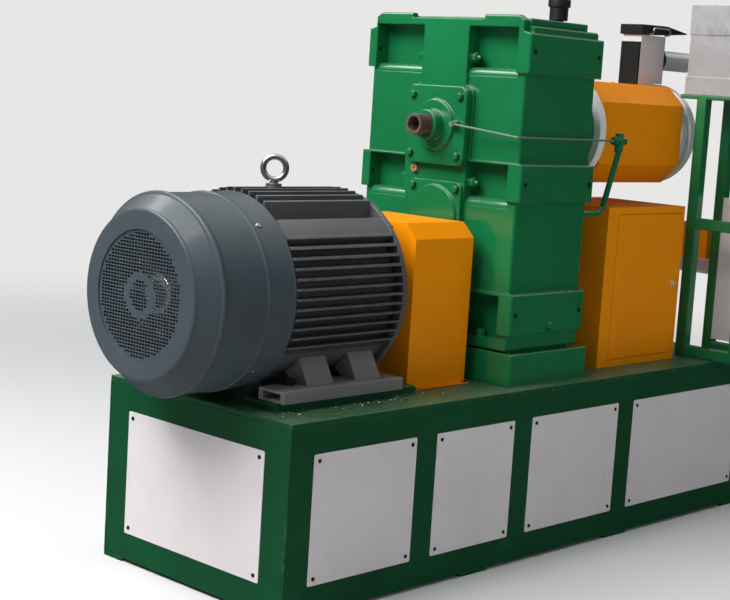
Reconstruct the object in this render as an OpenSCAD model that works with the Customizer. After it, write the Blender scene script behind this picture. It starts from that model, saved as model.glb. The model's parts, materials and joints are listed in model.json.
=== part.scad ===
// Single-screw plastic extruder: motor, guarded coupling, gearbox, barrel and cabinet on one welded base.
// X runs along the machine from the motor to the barrel's outlet, Y away from the operator's side, Z up.
// Inside the modules X starts at the base's motor end, Y at the machine's centre line and Z at the floor.

/* [Base] */
// Width of the welded base
base_w = 900; // [860:10:1000]
// Height of the base's top surface above the floor
base_h = 632; // [580:2:720]
// Thickness of the base's top plate
top_t = 16; // [10:1:25]
// Thickness of the base's side plates
wall_t = 10; // [8:1:14]
// Height of the packing pads under the base
pad_h = 12; // [8:1:20]
// Length of one packing pad
pad_l = 140; // [100:10:180]
// Width of the green strip at each end and between the panels
strip_w = 102; // [80:2:130]
// Lengths of the first, second, third and fourth side panel
panel_1_l = 471; // [420:5:560]
// Length of the second side panel
panel_2_l = 411; // [380:5:500]
// Length of the third side panel
panel_3_l = 528; // [480:5:600]
// Length of the fourth side panel
panel_4_l = 760; // [740:5:900]
// Height of every panel
panel_h = 422; // [380:2:440]
// Drop from the base's top to a panel's top edge
panel_drop = 105; // [80:1:110]
// Thickness of the panel sheet
panel_t = 3; // [2:0.5:5]
// How far a panel laps over its window on each side
panel_lap = 30; // [20:1:40]
// Distance of the end panel from each side of the base
end_margin = 112; // [90:1:130]

/* [Motor] */
// Height of the motor's shaft above its feet
shaft_h = 318; // [315:1:330]
// Thickness of the green rails under the motor
rail_t = 28; // [22:1:40]
// Width of one motor rail
rail_w = 150; // [130:2:180]
// Length of the motor's feet
foot_l = 545; // [530:5:570]
// Distance of the feet from the base's motor end
foot_x = 80; // [70:5:100]
// Height of a foot bar
foot_h = 40; // [32:1:44]
// Width of a foot bar
foot_w = 120; // [110:2:130]
// Distance of the feet's outer faces from the centre line
foot_y = 325; // [315:1:340]
// Length of the motor's finned frame
frame_l = 517; // [505:1:525]
// Radius of the motor's frame over its fins
fin_r = 328; // [322:1:332]
// Radius of the motor's frame between its fins
frame_r = 282; // [270:1:286]
// Number of level fins on each side
fin_n = 12; // [9:1:12]
// Thickness of one cooling fin
fin_t = 7; // [5:0.5:9]
// Pitch of the level fins
fin_pitch = 31.5; // [30:0.5:32]
// Number of upright fins on the top and on the bottom
top_fin_n = 9; // [7:1:9]
// Pitch of the upright fins
top_fin_pitch = 36; // [32:1:37]
// Outer radius of the fan cowl
cowl_r = 322; // [315:1:335]
// Radius of the cowl's flat face
cowl_face_r = 268; // [255:1:280]
// Length of the cowl's cone between its face and its drum
cowl_cone_l = 74; // [50:2:90]
// Overhang of the cowl's face beyond the base's end
cowl_over = 253; // [230:1:280]
// Distance from the base's end to the cowl's open rim
cowl_end = 112; // [100:1:120]
// Wall of the sheet-steel cowl
cowl_t = 5; // [3:0.5:8]
// Radius of the perforated part of the cowl's face
grille_r = 205; // [180:1:215]
// Radius of the motor's shaft
shaft_r = 40; // [35:1:45]
// Radius of the cooling fan
fan_r = 225; // [200:1:240]
// Height of the eye bolt's ring centre above the shaft
eye_h = 396; // [392:1:405]
// Number of fan blades
fan_n = 8; // [6:1:10]

/* [Coupling guard] */
// Distance of the guard's motor-side face from the base's end
guard_x = 738; // [730:1:760]
// Length of the guard along the machine
guard_l = 305; // [280:1:320]
// Half the width of the guard
guard_hw = 240; // [225:1:260]
// Height of the guard's vertical side
guard_side_h = 520; // [480:5:560]
// Size of the guard's sloping shoulder
guard_cut = 52; // [40:1:70]
// Sheet thickness of the guards
sheet_t = 3; // [2:0.5:4]

/* [Gearbox] */
// Distance of the gearbox's motor-side face from the base's motor end
gear_x = 1097; // [1095:1:1125]
// Length of the gearbox along the machine
gear_l = 430; // [400:2:460]
// Width of the gearbox across the machine
gear_w = 776; // [740:2:800]
// Height of the foot block under the gearbox
block_h = 117; // [100:1:130]
// How far the foot block stands out past the gearbox along the machine
block_out_x = 30; // [20:1:40]
// How far the foot block stands out past the gearbox at each side
block_out_y = 7; // [4:1:12]
// Gap that the machined pads leave between block and housing
seat_gap = 8; // [5:1:12]
// Height of the lowest lug's underside above the base
lug_1_z = 181; // [175:1:190]
// Height of the middle lug's underside above the base
lug_2_z = 655; // [640:1:670]
// Height of the top lug's underside above the base
lug_3_z = 1104; // [1090:1:1120]
// Height of the lowest lugs
lug_1_h = 149; // [140:1:160]
// Height of the middle lugs
lug_2_h = 135; // [125:1:145]
// Height of the top lugs
lug_3_h = 140; // [130:1:150]
// How far a lug stands out at the sides
lug_out_y = 22; // [15:1:28]
// How far a lug stands out on the ends
lug_out_x = 10; // [6:1:14]
// Depth of the pocket in a lug
pocket_d = 62; // [50:1:75]
// Height of the gearbox's upper step above the base
gear_top = 1270; // [1262:1:1280]
// Thickness of the gearbox's top cover
top_cover_t = 26; // [20:1:32]
// Height of the lifting ears above the top lugs
ear_h = 62; // [56:1:68]
// Thickness of the lifting ears along the machine
ear_t = 30; // [24:1:40]
// Height of the output shaft above the base
screw_h = 905; // [890:1:920]
// Height of the middle bearing cover's centre above the base
mid_cover_h = 575; // [565:1:585]
// Side of the upper bearing cover
cover_w = 284; // [270:2:300]
// Thickness of the upper bearing cover
cover_t = 32; // [26:1:38]
// Outer radius of the bare screw shaft
screw_r = 38; // [34:1:42]
// Radius of the bore through the screw shaft
screw_bore_r = 26; // [16:1:28]
// How far the screw shaft stands out of the upper cover's boss
screw_out = 60; // [45:1:75]
// Length of the boss round the screw shaft
boss_l = 45; // [35:1:60]
// Clearance of a shaft in its bearing bore
run_fit = 0.05; // [0.02:0.01:0.08]

/* [Oil pipe] */
// Outer radius of the thin oil pipe
pipe_r = 4; // [3:0.5:6]
// Outer radius of the oil return pipe
return_r = 11; // [9:0.5:13]
// Length of the thin pipe beyond the gearbox
pipe_past = 160; // [140:2:180]
// Drop from the thin pipe to the return pipe's entry
return_drop = 275; // [255:1:290]

/* [Barrel] */
// Length of the round thrust housing
thrust_l = 243; // [220:1:260]
// Radius of the thrust housing
thrust_r = 198; // [190:1:210]
// Radius of the white flange ring
ring_r = 226; // [215:1:240]
// Thickness of the white flange ring
ring_t = 40; // [30:1:50]
// Length of the barrel guard
barrel_guard_l = 560; // [530:5:590]
// Half the width and height of the barrel guard
barrel_guard_r = 198; // [190:1:215]
// Size of the barrel guard's sloping shoulders
barrel_guard_cut = 77; // [65:1:90]
// Outer radius of the barrel
barrel_r = 110; // [95:1:120]
// How far the barrel runs past its guard
barrel_past = 190; // [170:2:220]

/* [Cabinet] */
// Distance of the cabinet from the base's motor end
cab_x = 1752; // [1745:1:1770]
// Length of the cabinet
cab_l = 530; // [500:5:560]
// Depth of the cabinet
cab_d = 420; // [380:5:460]
// Height of the cabinet
cab_h = 626; // [600:2:650]
// Distance of the cabinet's front from the base's front edge
cab_front = 141; // [125:1:150]
// Width of the cabinet's front beside the door's hinge
hinge_border = 69; // [50:1:80]
// Width of the cabinet's front beside the door's lock
lock_border = 16; // [12:1:56]
// Height of the cabinet's front above and below the door
level_border = 27; // [26:1:40]
// Running gap round the cabinet's door
door_gap = 8; // [8:0.5:10]
// Thickness of the cabinet's door
door_t = 14; // [12:1:14]
// Radius of the door's hinge pins
pin_r = 4; // [3:0.5:4.5]

/* [Stand] */
// Distance of the stand from the base's motor end
stand_x = 2376; // [2370:1:2400]
// Length of the stand along the machine
stand_l = 250; // [220:5:280]
// Side of the square tubes
tube = 45; // [40:1:50]
// Overhang of the stand in front of the base
stand_over = 105; // [90:1:120]
// Distance of the stand's rear legs from the base's front edge
stand_back = 192; // [180:1:200]
// Height of the stand above the base
stand_h = 1078; // [1040:2:1110]
// Height of the stand's middle rail above the base
mid_rail_h = 530; // [500:5:560]
// Height of the hopper on the stand
hopper_h = 362; // [340:2:400]

/* [Vent] */
// How far the vent chamber starts before the barrel guard's far end
vent_back = 119; // [110:1:135]
// Length of the vent chamber along the machine
vent_l = 176; // [170:1:190]
// Depth of the vent chamber across the machine
vent_w = 92; // [90:1:120]
// Height of the vent chamber
vent_h = 195; // [180:1:205]
// Thickness of the dark plate on the vent chamber's side
vent_plate_t = 10; // [6:1:20]
// Thickness of the vent's lid at its thick end
lid_t = 52; // [44:1:58]
// Length of the vent's lid
lid_l = 340; // [300:5:360]
// Radius of the vent pipe
vent_pipe_r = 41; // [36:1:46]

/* [Hidden] */
$fn = 64;
steel_green = [0.06, 0.42, 0.24];
dark_green = [0.05, 0.30, 0.18];
orange = [0.80, 0.47, 0.05];
motor_grey = [0.33, 0.37, 0.40];
panel_white = [0.82, 0.81, 0.80];
bare_steel = [0.62, 0.62, 0.60];
copper = [0.75, 0.42, 0.25];
black = [0.06, 0.06, 0.07];

base_l = 5 * strip_w + panel_1_l + panel_2_l + panel_3_l + panel_4_l;
panel_ls = [panel_1_l, panel_2_l, panel_3_l, panel_4_l];
function panel_start(i) = strip_w + (i == 0 ? 0 : panel_start(i - 1) + panel_ls[i - 1]);
half_w = base_w / 2;
panel_z = base_h - panel_drop - panel_h;
axis_z = base_h + rail_t + shaft_h;
screw_z = base_h + screw_h;
foot_z = base_h + rail_t;
foot_top = foot_z + foot_h;
seat_fit = 0.3;
body_x0 = foot_x;
body_x1 = body_x0 + frame_l;
fin_x0 = cowl_end + 4;
fan_shield_t = 25;
fan_x = body_x0 - fan_shield_t - 115;
fan_hub_l = 110;
cowl_x = -cowl_over;
gear_x1 = gear_x + gear_l;
gear_hw = gear_w / 2;
block_z = base_h + block_h;
house_z = block_z + seat_gap;
body_x = gear_x + lug_out_x;
body_hw = gear_hw - lug_out_y;
lug_top = base_h + lug_3_z + lug_3_h;
cover_z = base_h + gear_top + top_cover_t;
boss_x = gear_x - cover_t - 12;
thrust_x1 = gear_x1 + thrust_l;
ring_x1 = thrust_x1 + ring_t;
guard2_x = ring_x1 + 4;
guard2_x1 = guard2_x + barrel_guard_l;
barrel_x1 = guard2_x1 + barrel_past;
outer_ring_r = barrel_guard_r + 8;
cab_y = cab_front - half_w;
cab_x1 = cab_x + cab_l;
stand_y0 = -half_w - stand_over;
stand_y1 = stand_back - half_w;
stand_x1 = stand_x + stand_l;
rear_y = half_w + panel_t;
mid_x = (cowl_x + base_l + panel_t) / 2;
mid_y = (stand_y0 + rear_y) / 2;

module place() {
    translate([-mid_x, -mid_y, 0]) children();
}

// A box between two opposite corners
module span(a, b) {
    translate(a) cube(b - a);
}

// A cylinder along X
module rod_x(x0, x1, r, y = 0, z = 0) {
    translate([x0, y, z]) rotate([0, 90, 0]) cylinder(h = x1 - x0, r = r);
}

// A cylinder along Y
module rod_y(y0, y1, r, x = 0, z = 0) {
    translate([x, y0, z]) rotate([-90, 0, 0]) cylinder(h = y1 - y0, r = r);
}

// A flat outline in Y and Z, drawn out along X
module run_x(x0, x1) {
    translate([x0, 0, 0]) rotate([90, 0, 90]) linear_extrude(x1 - x0) children();
}

// A turned shape about an axis along X: its outline gives X along the axis and Y as the radius
module turned_x(z) {
    translate([0, 0, z]) rotate([0, 90, 0]) rotate_extrude() rotate(90) mirror([0, 1]) children();
}

// A flat outline with rounded corners, centred
module round_rect(w, h, r) {
    square([w - 2 * r, h], center = true);
    square([w, h - 2 * r], center = true);
    for (i = [-1, 1], j = [-1, 1]) translate([i * (w / 2 - r), j * (h / 2 - r)]) circle(r);
}

// Base

module base_top() {
    place() color(steel_green)
        span([0, -half_w, base_h - top_t], [base_l, half_w, base_h]);
}

module side_walls() {
    place() color(steel_green) for (s = [0, 1]) mirror([0, s, 0]) difference() {
        span([0, -half_w, pad_h], [base_l, -half_w + wall_t, base_h - top_t]);
        for (i = [0:3])
            span([panel_start(i) + panel_lap, -half_w - 1, panel_z + panel_lap],
                [panel_start(i) + panel_ls[i] - panel_lap, -half_w + wall_t + 1,
                    panel_z + panel_h - panel_lap]);
    }
}

module end_walls() {
    place() color(steel_green) for (x = [0, base_l - wall_t]) difference() {
        span([x, -half_w + wall_t, pad_h], [x + wall_t, half_w - wall_t, base_h - top_t]);
        span([x - 1, -half_w + end_margin + panel_lap, panel_z + panel_lap],
            [x + wall_t + 1, half_w - end_margin - panel_lap, panel_z + panel_h - panel_lap]);
    }
}

module base_pads() {
    pad_w = 100;
    pad_n = 4;
    pitch = (base_l - pad_l) / (pad_n - 1);
    place() color(steel_green)
        for (i = [0:pad_n - 1], s = [0, 1]) mirror([0, s, 0])
            span([i * pitch, -half_w, 0], [i * pitch + pad_l, -half_w + pad_w, pad_h]);
}

module panel(l, h) {
    corner_r = 6;
    linear_extrude(panel_t) round_rect(l, h, corner_r);
}

module side_panels(s) {
    for (i = [0:3])
        translate([panel_start(i) + panel_ls[i] / 2, s * half_w, panel_z + panel_h / 2])
            rotate([s > 0 ? -90 : 90, 0, 0]) panel(panel_ls[i], panel_h);
}

module front_panels() {
    place() color(panel_white) side_panels(-1);
}

module rear_panels() {
    place() color(panel_white) side_panels(1);
}

module end_panels() {
    place() color(panel_white) {
        translate([0, 0, panel_z + panel_h / 2]) rotate([0, -90, 0])
            panel(panel_h, base_w - 2 * end_margin);
        translate([base_l, 0, panel_z + panel_h / 2]) rotate([0, 90, 0])
            panel(panel_h, base_w - 2 * end_margin);
    }
}

// Motor

module motor_rails() {
    rail_y = foot_y - 27;
    rail_end = foot_x + foot_l + 95;
    place() color(steel_green) for (s = [0, 1]) mirror([0, s, 0])
        span([foot_x - 10, -rail_y, base_h], [rail_end, -rail_y + rail_w, foot_z]);
}

// Outline of a web between a foot and the frame
module web_outline() {
    difference() {
        polygon([[-foot_y + 45, foot_top], [-foot_y + foot_w - 8, foot_top],
            [-frame_r * 0.5, axis_z - frame_r * 0.8], [-frame_r * 0.78, axis_z - frame_r * 0.6]]);
        translate([0, axis_z]) fin_section();
    }
}

// Feet: a hollow bar along each side, with two webs that carry the frame
module motor_feet() {
    slot_h = 20;
    slot_z = foot_z + 10;
    web_t = 118;
    place() color(motor_grey) for (s = [0, 1]) mirror([0, s, 0]) {
        difference() {
            span([foot_x, -foot_y, foot_z], [foot_x + foot_l, -foot_y + foot_w, foot_top]);
            for (x = [foot_x - 1, foot_x + foot_l - 60])
                span([x, -foot_y + 20, slot_z], [x + 61, -foot_y + foot_w - 20, slot_z + slot_h]);
        }
        for (x = [foot_x + 142, foot_x + 362]) run_x(x, x + web_t) web_outline();
    }
}

// Section of the frame: round core, level fins at the sides, upright fins, smooth shoulders between
module fin_section() {
    fin_mid = 24.5;
    top_out = 6;
    circle(frame_r);
    intersection() {
        circle(fin_r);
        for (i = [0:fin_n - 1])
            translate([0, fin_mid + (i - (fin_n - 1) / 2) * fin_pitch])
                square([2 * fin_r, fin_t], center = true);
    }
    intersection() {
        circle(fin_r + top_out);
        for (i = [0:top_fin_n - 1])
            translate([(i - (top_fin_n - 1) / 2) * top_fin_pitch - fin_t / 2, 0])
                square([fin_t, fin_r + top_out]);
    }
    intersection() {
        circle(frame_r + 20);
        for (i = [0:top_fin_n - 1])
            translate([(i - (top_fin_n - 1) / 2) * top_fin_pitch - fin_t / 2, -frame_r - 20])
                square([fin_t, frame_r + 20]);
    }
    for (a = [43.7, 136.3]) intersection() {
        circle(fin_r - 5);
        rotate(a) translate([0, -38]) square([fin_r, 76]);
    }
    for (a = [-45, -135]) intersection() {
        circle(frame_r + 20);
        rotate(a) translate([0, -48]) square([fin_r, 96]);
    }
}

module motor_body() {
    boss_r = 30;
    eye_x = foot_x + 208;
    place() color(motor_grey) difference() {
        union() {
            rod_x(body_x0, fin_x0, frame_r, 0, axis_z);
            translate([0, 0, axis_z]) run_x(fin_x0, body_x1) fin_section();
            translate([eye_x, 0, axis_z + frame_r - 10]) cylinder(h = fin_r - frame_r + 18, r = boss_r);
        }
        rod_x(body_x0 - 1, body_x1 + 1, shaft_r + 5, 0, axis_z);
    }
}

module drive_end_shield() {
    rim = 20;
    place() color(motor_grey) turned_x(axis_z)
        polygon([[body_x1, shaft_r + run_fit], [body_x1, fin_r - 3], [body_x1 + rim, fin_r - 3],
            [body_x1 + rim + 14, fin_r - 60], [body_x1 + rim + 30, 140], [body_x1 + rim + 60, 120],
            [body_x1 + rim + 60, shaft_r + run_fit]]);
}

module fan_end_shield() {
    rim_r = cowl_r - cowl_t - seat_fit;
    place() color(motor_grey) turned_x(axis_z)
        polygon([[body_x0 - fan_shield_t, shaft_r + run_fit], [body_x0 - fan_shield_t, 200],
            [body_x0 - 12, rim_r], [body_x0, rim_r], [body_x0, shaft_r + run_fit]]);
}

// Cowl: a spun sheet-steel drum with a coned front, a rolled bead and a joint step
module fan_cowl() {
    bead = 3;
    drum_r = cowl_r - bead;
    x1 = cowl_x + cowl_cone_l;
    step_x = cowl_end - 112;
    place() color(motor_grey) turned_x(axis_z)
        polygon([[cowl_x, grille_r], [cowl_x, cowl_face_r - 6], [cowl_x + bead, cowl_face_r],
            [x1 - 9, cowl_r - 9], [x1 - 6, cowl_r - 1], [x1 - 2, cowl_r], [x1 + 5, cowl_r], [x1 + 9, drum_r],
            [step_x - 4, drum_r], [step_x, cowl_r], [cowl_end, cowl_r], [cowl_end, cowl_r - cowl_t],
            [step_x, cowl_r - cowl_t], [step_x - 4, drum_r - cowl_t], [x1, drum_r - cowl_t],
            [cowl_x + cowl_t, cowl_face_r - cowl_t - 3], [cowl_x + cowl_t, grille_r]]);
}

module fan_grille() {
    slot_l = 34;
    slot_w = 7;
    rows = 23;
    grille_t = 3;
    ring_in = 46;
    ring_out = 76;
    place() color(motor_grey) difference() {
        rod_x(cowl_x + cowl_t, cowl_x + cowl_t + grille_t, grille_r + 20, 0, axis_z);
        for (i = [0:rows - 1]) {
            z = (i - (rows - 1) / 2) * 16;
            half = sqrt(pow(grille_r - 8, 2) - z * z);
            n = floor(half / (slot_l + 6));
            for (j = [-n:n - 1]) {
                y = (j + 0.5) * (slot_l + 6);
                if (norm([y, z]) < ring_in || norm([y, z]) > ring_out)
                    translate([cowl_x + cowl_t - 1, y - slot_l / 2, axis_z + z - slot_w / 2])
                        cube([grille_t + 2, slot_l, slot_w]);
            }
        }
    }
}

module cooling_fan() {
    hub_r = 62;
    plate_t = 8;
    hub_x = fan_x - fan_hub_l;
    blade_t = 6;
    place() color(black) difference() {
        union() {
            rod_x(fan_x - plate_t, fan_x, fan_r, 0, axis_z);
            rod_x(hub_x, fan_x, hub_r, 0, axis_z);
            for (i = [0:fan_n - 1])
                translate([hub_x + 20, 0, axis_z]) rotate([i * 360 / fan_n, 0, 0])
                    translate([0, -blade_t / 2, hub_r - 4])
                        cube([fan_hub_l - 24, blade_t, fan_r - hub_r]);
        }
        rod_x(hub_x - 1, fan_x + 1, shaft_r + run_fit, 0, axis_z);
    }
}

module motor_shaft() {
    place() color(bare_steel)
        rod_x(fan_x - fan_hub_l - 6, gear_x + 40, shaft_r, 0, axis_z);
}

module eye_bolt() {
    ring_major = 37.5;
    ring_minor = 10;
    collar_r = 26;
    seat_z = axis_z + fin_r + 8;
    eye_x = foot_x + 208;
    ring_z = axis_z + eye_h;
    place() color(bare_steel) {
        translate([eye_x, 0, seat_z]) cylinder(h = 9, r = collar_r);
        translate([eye_x, 0, seat_z]) cylinder(h = ring_z - ring_major - seat_z, r = 14);
        translate([eye_x, 0, ring_z]) rotate([90, 0, -42])
            rotate_extrude() translate([ring_major, 0]) circle(ring_minor);
    }
}

// Coupling guard: folded sheet with sloping shoulders, open underneath

module guard_outline(hw, h, cut) {
    polygon([[-hw, 0], [-hw, h], [-hw + cut, h + cut], [hw - cut, h + cut], [hw, h], [hw, 0]]);
}

module coupling_guard() {
    slack = 12;
    lip = 22;
    guard_x1 = guard_x + guard_l;
    place() color(orange) {
        difference() {
            translate([0, 0, base_h]) run_x(guard_x, guard_x1)
                guard_outline(guard_hw, guard_side_h, guard_cut);
            translate([0, 0, base_h - 1]) run_x(guard_x + sheet_t, guard_x1 - sheet_t)
                guard_outline(guard_hw - sheet_t, guard_side_h + 1 - sheet_t * 0.6, guard_cut);
            rod_x(guard_x - 1, guard_x1 + 1, shaft_r + slack, 0, axis_z);
        }
        for (s = [0, 1]) mirror([0, s, 0])
            span([guard_x, -guard_hw - lip, base_h], [guard_x1, -guard_hw, base_h + sheet_t]);
    }
}

// Gearbox

module gearbox_foot() {
    seat_w = 100;
    seat_in = 40;
    place() color(dark_green) {
        span([gear_x + 8, -gear_hw - block_out_y, base_h],
            [gear_x1 + block_out_x, gear_hw + block_out_y, block_z]);
        for (s = [0, 1]) mirror([0, s, 0])
            span([gear_x + seat_in, -gear_hw + seat_in, block_z],
                [gear_x1 - seat_in, -gear_hw + seat_in + seat_w, house_z]);
    }
}

// Lugs at one level, in a row along each side
module lug_row(z, h) {
    lug_w = 120;
    for (s = [0, 1]) mirror([0, s, 0])
        span([gear_x, -gear_hw, base_h + z], [gear_x1, -gear_hw + lug_w, base_h + z + h]);
}

// Both ends stand out round the bolt pockets of one level
module end_band(z, h) {
    span([gear_x, -gear_hw, base_h + z], [gear_x1, gear_hw, base_h + z + h]);
}

// Pockets for the joint bolts at one level: near and far side, each on both ends
module lug_pockets(z0, z1, near, far) {
    for (x = [gear_x - 1, gear_x1 - pocket_d]) {
        span([x, -near[1], base_h + z0], [x + pocket_d + 1, -near[0], base_h + z1]);
        span([x, far[0], base_h + z0], [x + pocket_d + 1, far[1], base_h + z1]);
    }
}

// Lifting ear: it rises past the top lug with a cut corner
module ear() {
    polygon([[-gear_hw, 0], [-gear_hw, lug_3_h - 3], [-gear_hw + 12, lug_3_h],
        [-gear_hw + 36, lug_3_h + 7], [-gear_hw + 38, lug_3_h + ear_h - 18],
        [-gear_hw + 65, lug_3_h + ear_h], [-gear_hw + 215, lug_3_h + ear_h], [-gear_hw + 215, 0]]);
}

module gearbox_housing() {
    rib_hw = 107;
    wide_near = 130;
    wide_far = 150;
    pad_side = cover_w + 12;
    boss_r = 95;
    boss_t = 30;
    rib_top = lug_top + ear_h - 17;
    place() color(steel_green) difference() {
        union() {
            span([body_x, -body_hw, house_z], [gear_x1 - lug_out_x, body_hw, lug_top]);
            span([gear_x + ear_t, -gear_hw + 13, lug_top - 1], [gear_x1 - 26, gear_hw - 13, base_h + gear_top]);
            span([gear_x, -rib_hw, house_z], [gear_x1, rib_hw, lug_top]);
            span([gear_x, -gear_hw + 180, base_h + lug_3_z], [gear_x + ear_t, gear_hw - 180, rib_top]);
            span([gear_x, -wide_near, house_z], [gear_x1, wide_far, base_h + lug_2_z + lug_2_h]);
            end_band(lug_1_z, lug_1_h);
            end_band(lug_2_z, lug_2_h);
            end_band(lug_3_z, lug_3_h);
            for (s = [0, 1]) mirror([0, s, 0])
                translate([0, 0, base_h + lug_3_z]) run_x(gear_x, gear_x + ear_t) ear();
            translate([0, 0, screw_z]) run_x(gear_x, body_x + 1) round_rect(pad_side, pad_side, 38);
            rod_x(gear_x1 - lug_out_x - 1, gear_x1, thrust_r + 8, 0, screw_z);
            rod_x(gear_x - boss_t, gear_x, boss_r, 0, axis_z);
        }
        lug_pockets(lug_1_z - 18, lug_1_z + lug_1_h - 12, [133, 326], [163, 343]);
        lug_pockets(lug_2_z - 24, lug_2_z + lug_2_h - 6, [133, 326], [163, 343]);
        lug_pockets(lug_3_z - 13, lug_3_z + lug_3_h + 19, [105, 330], [110, 345]);
        rod_x(gear_x - boss_t - 1, gear_x + 10, shaft_r + run_fit, 0, axis_z);
        rod_x(gear_x + 9, gear_x + 50, shaft_r + 5, 0, axis_z);
        rod_x(gear_x - 1, gear_x + gear_l * 0.45, screw_r + 5, 0, screw_z);
    }
}

module gearbox_top_cover() {
    inset = 28;
    place() color(steel_green)
        span([gear_x + ear_t, -gear_hw + inset, base_h + gear_top],
            [gear_x1 - 72, gear_hw - inset, cover_z]);
}

module breather() {
    cx = gear_x1 - 88;
    cy = -gear_hw + 153;
    place() color(black) translate([cx, cy, cover_z]) {
        cylinder(h = 12, r = 18);
        translate([0, 0, 12]) cylinder(h = 48, r = 34);
        translate([0, 0, 60]) cylinder(h = 28, r = 41);
    }
}

module upper_bearing_cover() {
    ring_out = 92;
    corner_r = 34;
    place() color(steel_green) difference() {
        union() {
            translate([0, 0, screw_z]) run_x(gear_x - cover_t, gear_x) round_rect(cover_w, cover_w, corner_r);
            rod_x(boss_x, gear_x - cover_t, ring_out, 0, screw_z);
            rod_x(boss_x - boss_l, boss_x, screw_r + 16, 0, screw_z);
        }
        rod_x(boss_x - boss_l - 1, gear_x + 1, screw_r + run_fit, 0, screw_z);
    }
}

module screw_shaft() {
    x0 = boss_x - boss_l - screw_out;
    shaft_in = gear_l * 0.42;
    bore_in = gear_l * 0.35;
    place() color(bare_steel) difference() {
        rod_x(x0, gear_x + shaft_in, screw_r, 0, screw_z);
        rod_x(x0 - 1, gear_x + bore_in, screw_bore_r, 0, screw_z);
    }
}

module middle_bearing_cover() {
    plate_t = 12;
    plate_w = cover_w - 28;
    plate_h = cover_w - 24;
    place() color(steel_green) {
        translate([0, 0, base_h + mid_cover_h]) run_x(gear_x - plate_t, gear_x) round_rect(plate_w, plate_h, 30);
        rod_x(gear_x - plate_t - 10, gear_x - plate_t, 113, 0, base_h + mid_cover_h);
    }
}

module level_plug() {
    place() color(copper) difference() {
        rod_x(gear_x - 14, gear_x, 15, 108, base_h + 742);
        rod_x(gear_x - 15, gear_x - 4, 6, 108, base_h + 742);
    }
}

// Oil pipes

pipe_y = -body_hw - 8;
pipe_z = screw_z - 22;
pipe_x0 = gear_x - 20;
elbow_x = gear_x1 + pipe_past;
fit_y = -104;

module oil_pipe() {
    fit_z = screw_z + 8;
    place() color(bare_steel) {
        rod_x(gear_x - cover_t - 34, gear_x - cover_t, 10, fit_y, fit_z);
        hull() {
            translate([gear_x - cover_t - 26, fit_y, fit_z]) sphere(r = pipe_r, $fn = 16);
            translate([pipe_x0, pipe_y, pipe_z]) sphere(r = pipe_r, $fn = 16);
        }
        rod_x(pipe_x0, elbow_x - 20, pipe_r, pipe_y, pipe_z);
    }
}

module oil_elbow() {
    place() color(dark_green) {
        rod_x(elbow_x - 20, elbow_x + 20, 18, pipe_y, pipe_z);
        translate([elbow_x, pipe_y, pipe_z - 34]) cylinder(h = 34, r = 16);
    }
}

module return_pipe() {
    low_x = elbow_x - 28;
    low_z = pipe_z - return_drop;
    in_y = -body_hw + 24;
    place() color(dark_green) {
        translate([elbow_x, pipe_y, pipe_z - 46]) cylinder(h = 12, r = return_r);
        hull() {
            translate([elbow_x, pipe_y, pipe_z - 46]) sphere(r = return_r, $fn = 20);
            translate([low_x, in_y, low_z + 20]) sphere(r = return_r, $fn = 20);
        }
        hull() {
            translate([low_x, in_y, low_z + 20]) sphere(r = return_r, $fn = 20);
            translate([low_x - 30, in_y, low_z]) sphere(r = return_r, $fn = 20);
        }
        rod_x(gear_x1 - lug_out_x, low_x - 30, return_r, in_y, low_z);
    }
}

// Barrel

module thrust_housing() {
    place() color(dark_green) rod_x(gear_x1, thrust_x1, thrust_r, 0, screw_z);
}

module flange_ring() {
    place() color(panel_white) rod_x(thrust_x1, ring_x1, ring_r, 0, screw_z);
}

module barrel() {
    place() color(bare_steel) rod_x(ring_x1, barrel_x1, barrel_r, 0, screw_z);
}

module octagon(r, cut) {
    polygon([[-r, -r + cut], [-r, r - cut], [-r + cut, r], [r - cut, r], [r, r - cut], [r, -r + cut],
        [r - cut, -r], [-r + cut, -r]]);
}

module barrel_guard() {
    inner_cut = barrel_guard_cut - sheet_t * 0.6;
    place() color(orange) difference() {
        translate([0, 0, screw_z]) run_x(guard2_x, guard2_x1) octagon(barrel_guard_r, barrel_guard_cut);
        translate([0, 0, screw_z]) run_x(guard2_x + sheet_t, guard2_x1 - sheet_t)
            octagon(barrel_guard_r - sheet_t, inner_cut);
        rod_x(guard2_x - 1, guard2_x1 + 1, barrel_r + seat_fit, 0, screw_z);
    }
}

module outlet_flange() {
    neck_out = 40;
    place() color(bare_steel) difference() {
        union() {
            rod_x(guard2_x1, guard2_x1 + 42, barrel_guard_r + 3, 0, screw_z);
            rod_x(guard2_x1 + 42, guard2_x1 + 60, barrel_r + neck_out, 0, screw_z);
            rod_x(guard2_x1 + 60, guard2_x1 + 100, outer_ring_r, 0, screw_z);
        }
        rod_x(guard2_x1 - 1, barrel_x1, barrel_r + seat_fit, 0, screw_z);
    }
}

// Vent

vent_x = guard2_x1 - vent_back;
vent_z = screw_z + barrel_guard_r;
vent_x1 = vent_x + vent_l;
vent_pipe_z = vent_z + 110;

module vent_chamber() {
    step_z = screw_z + outer_ring_r + 2;
    socket = 30;
    place() color(panel_white) difference() {
        union() {
            span([vent_x, -vent_w / 2, vent_z], [guard2_x1 - 3, vent_w / 2, vent_z + vent_h]);
            span([vent_x, -vent_w / 2, step_z], [vent_x1, vent_w / 2, vent_z + vent_h]);
        }
        rod_x(vent_x1 - socket, vent_x1 + 1, vent_pipe_r + seat_fit, 0, vent_pipe_z);
    }
}

module vent_side_plate() {
    drop = 18;
    place() color(black)
        span([vent_x - vent_plate_t, -vent_w / 2, vent_z], [vent_x, vent_w / 2, vent_z + vent_h - drop]);
}

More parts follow.
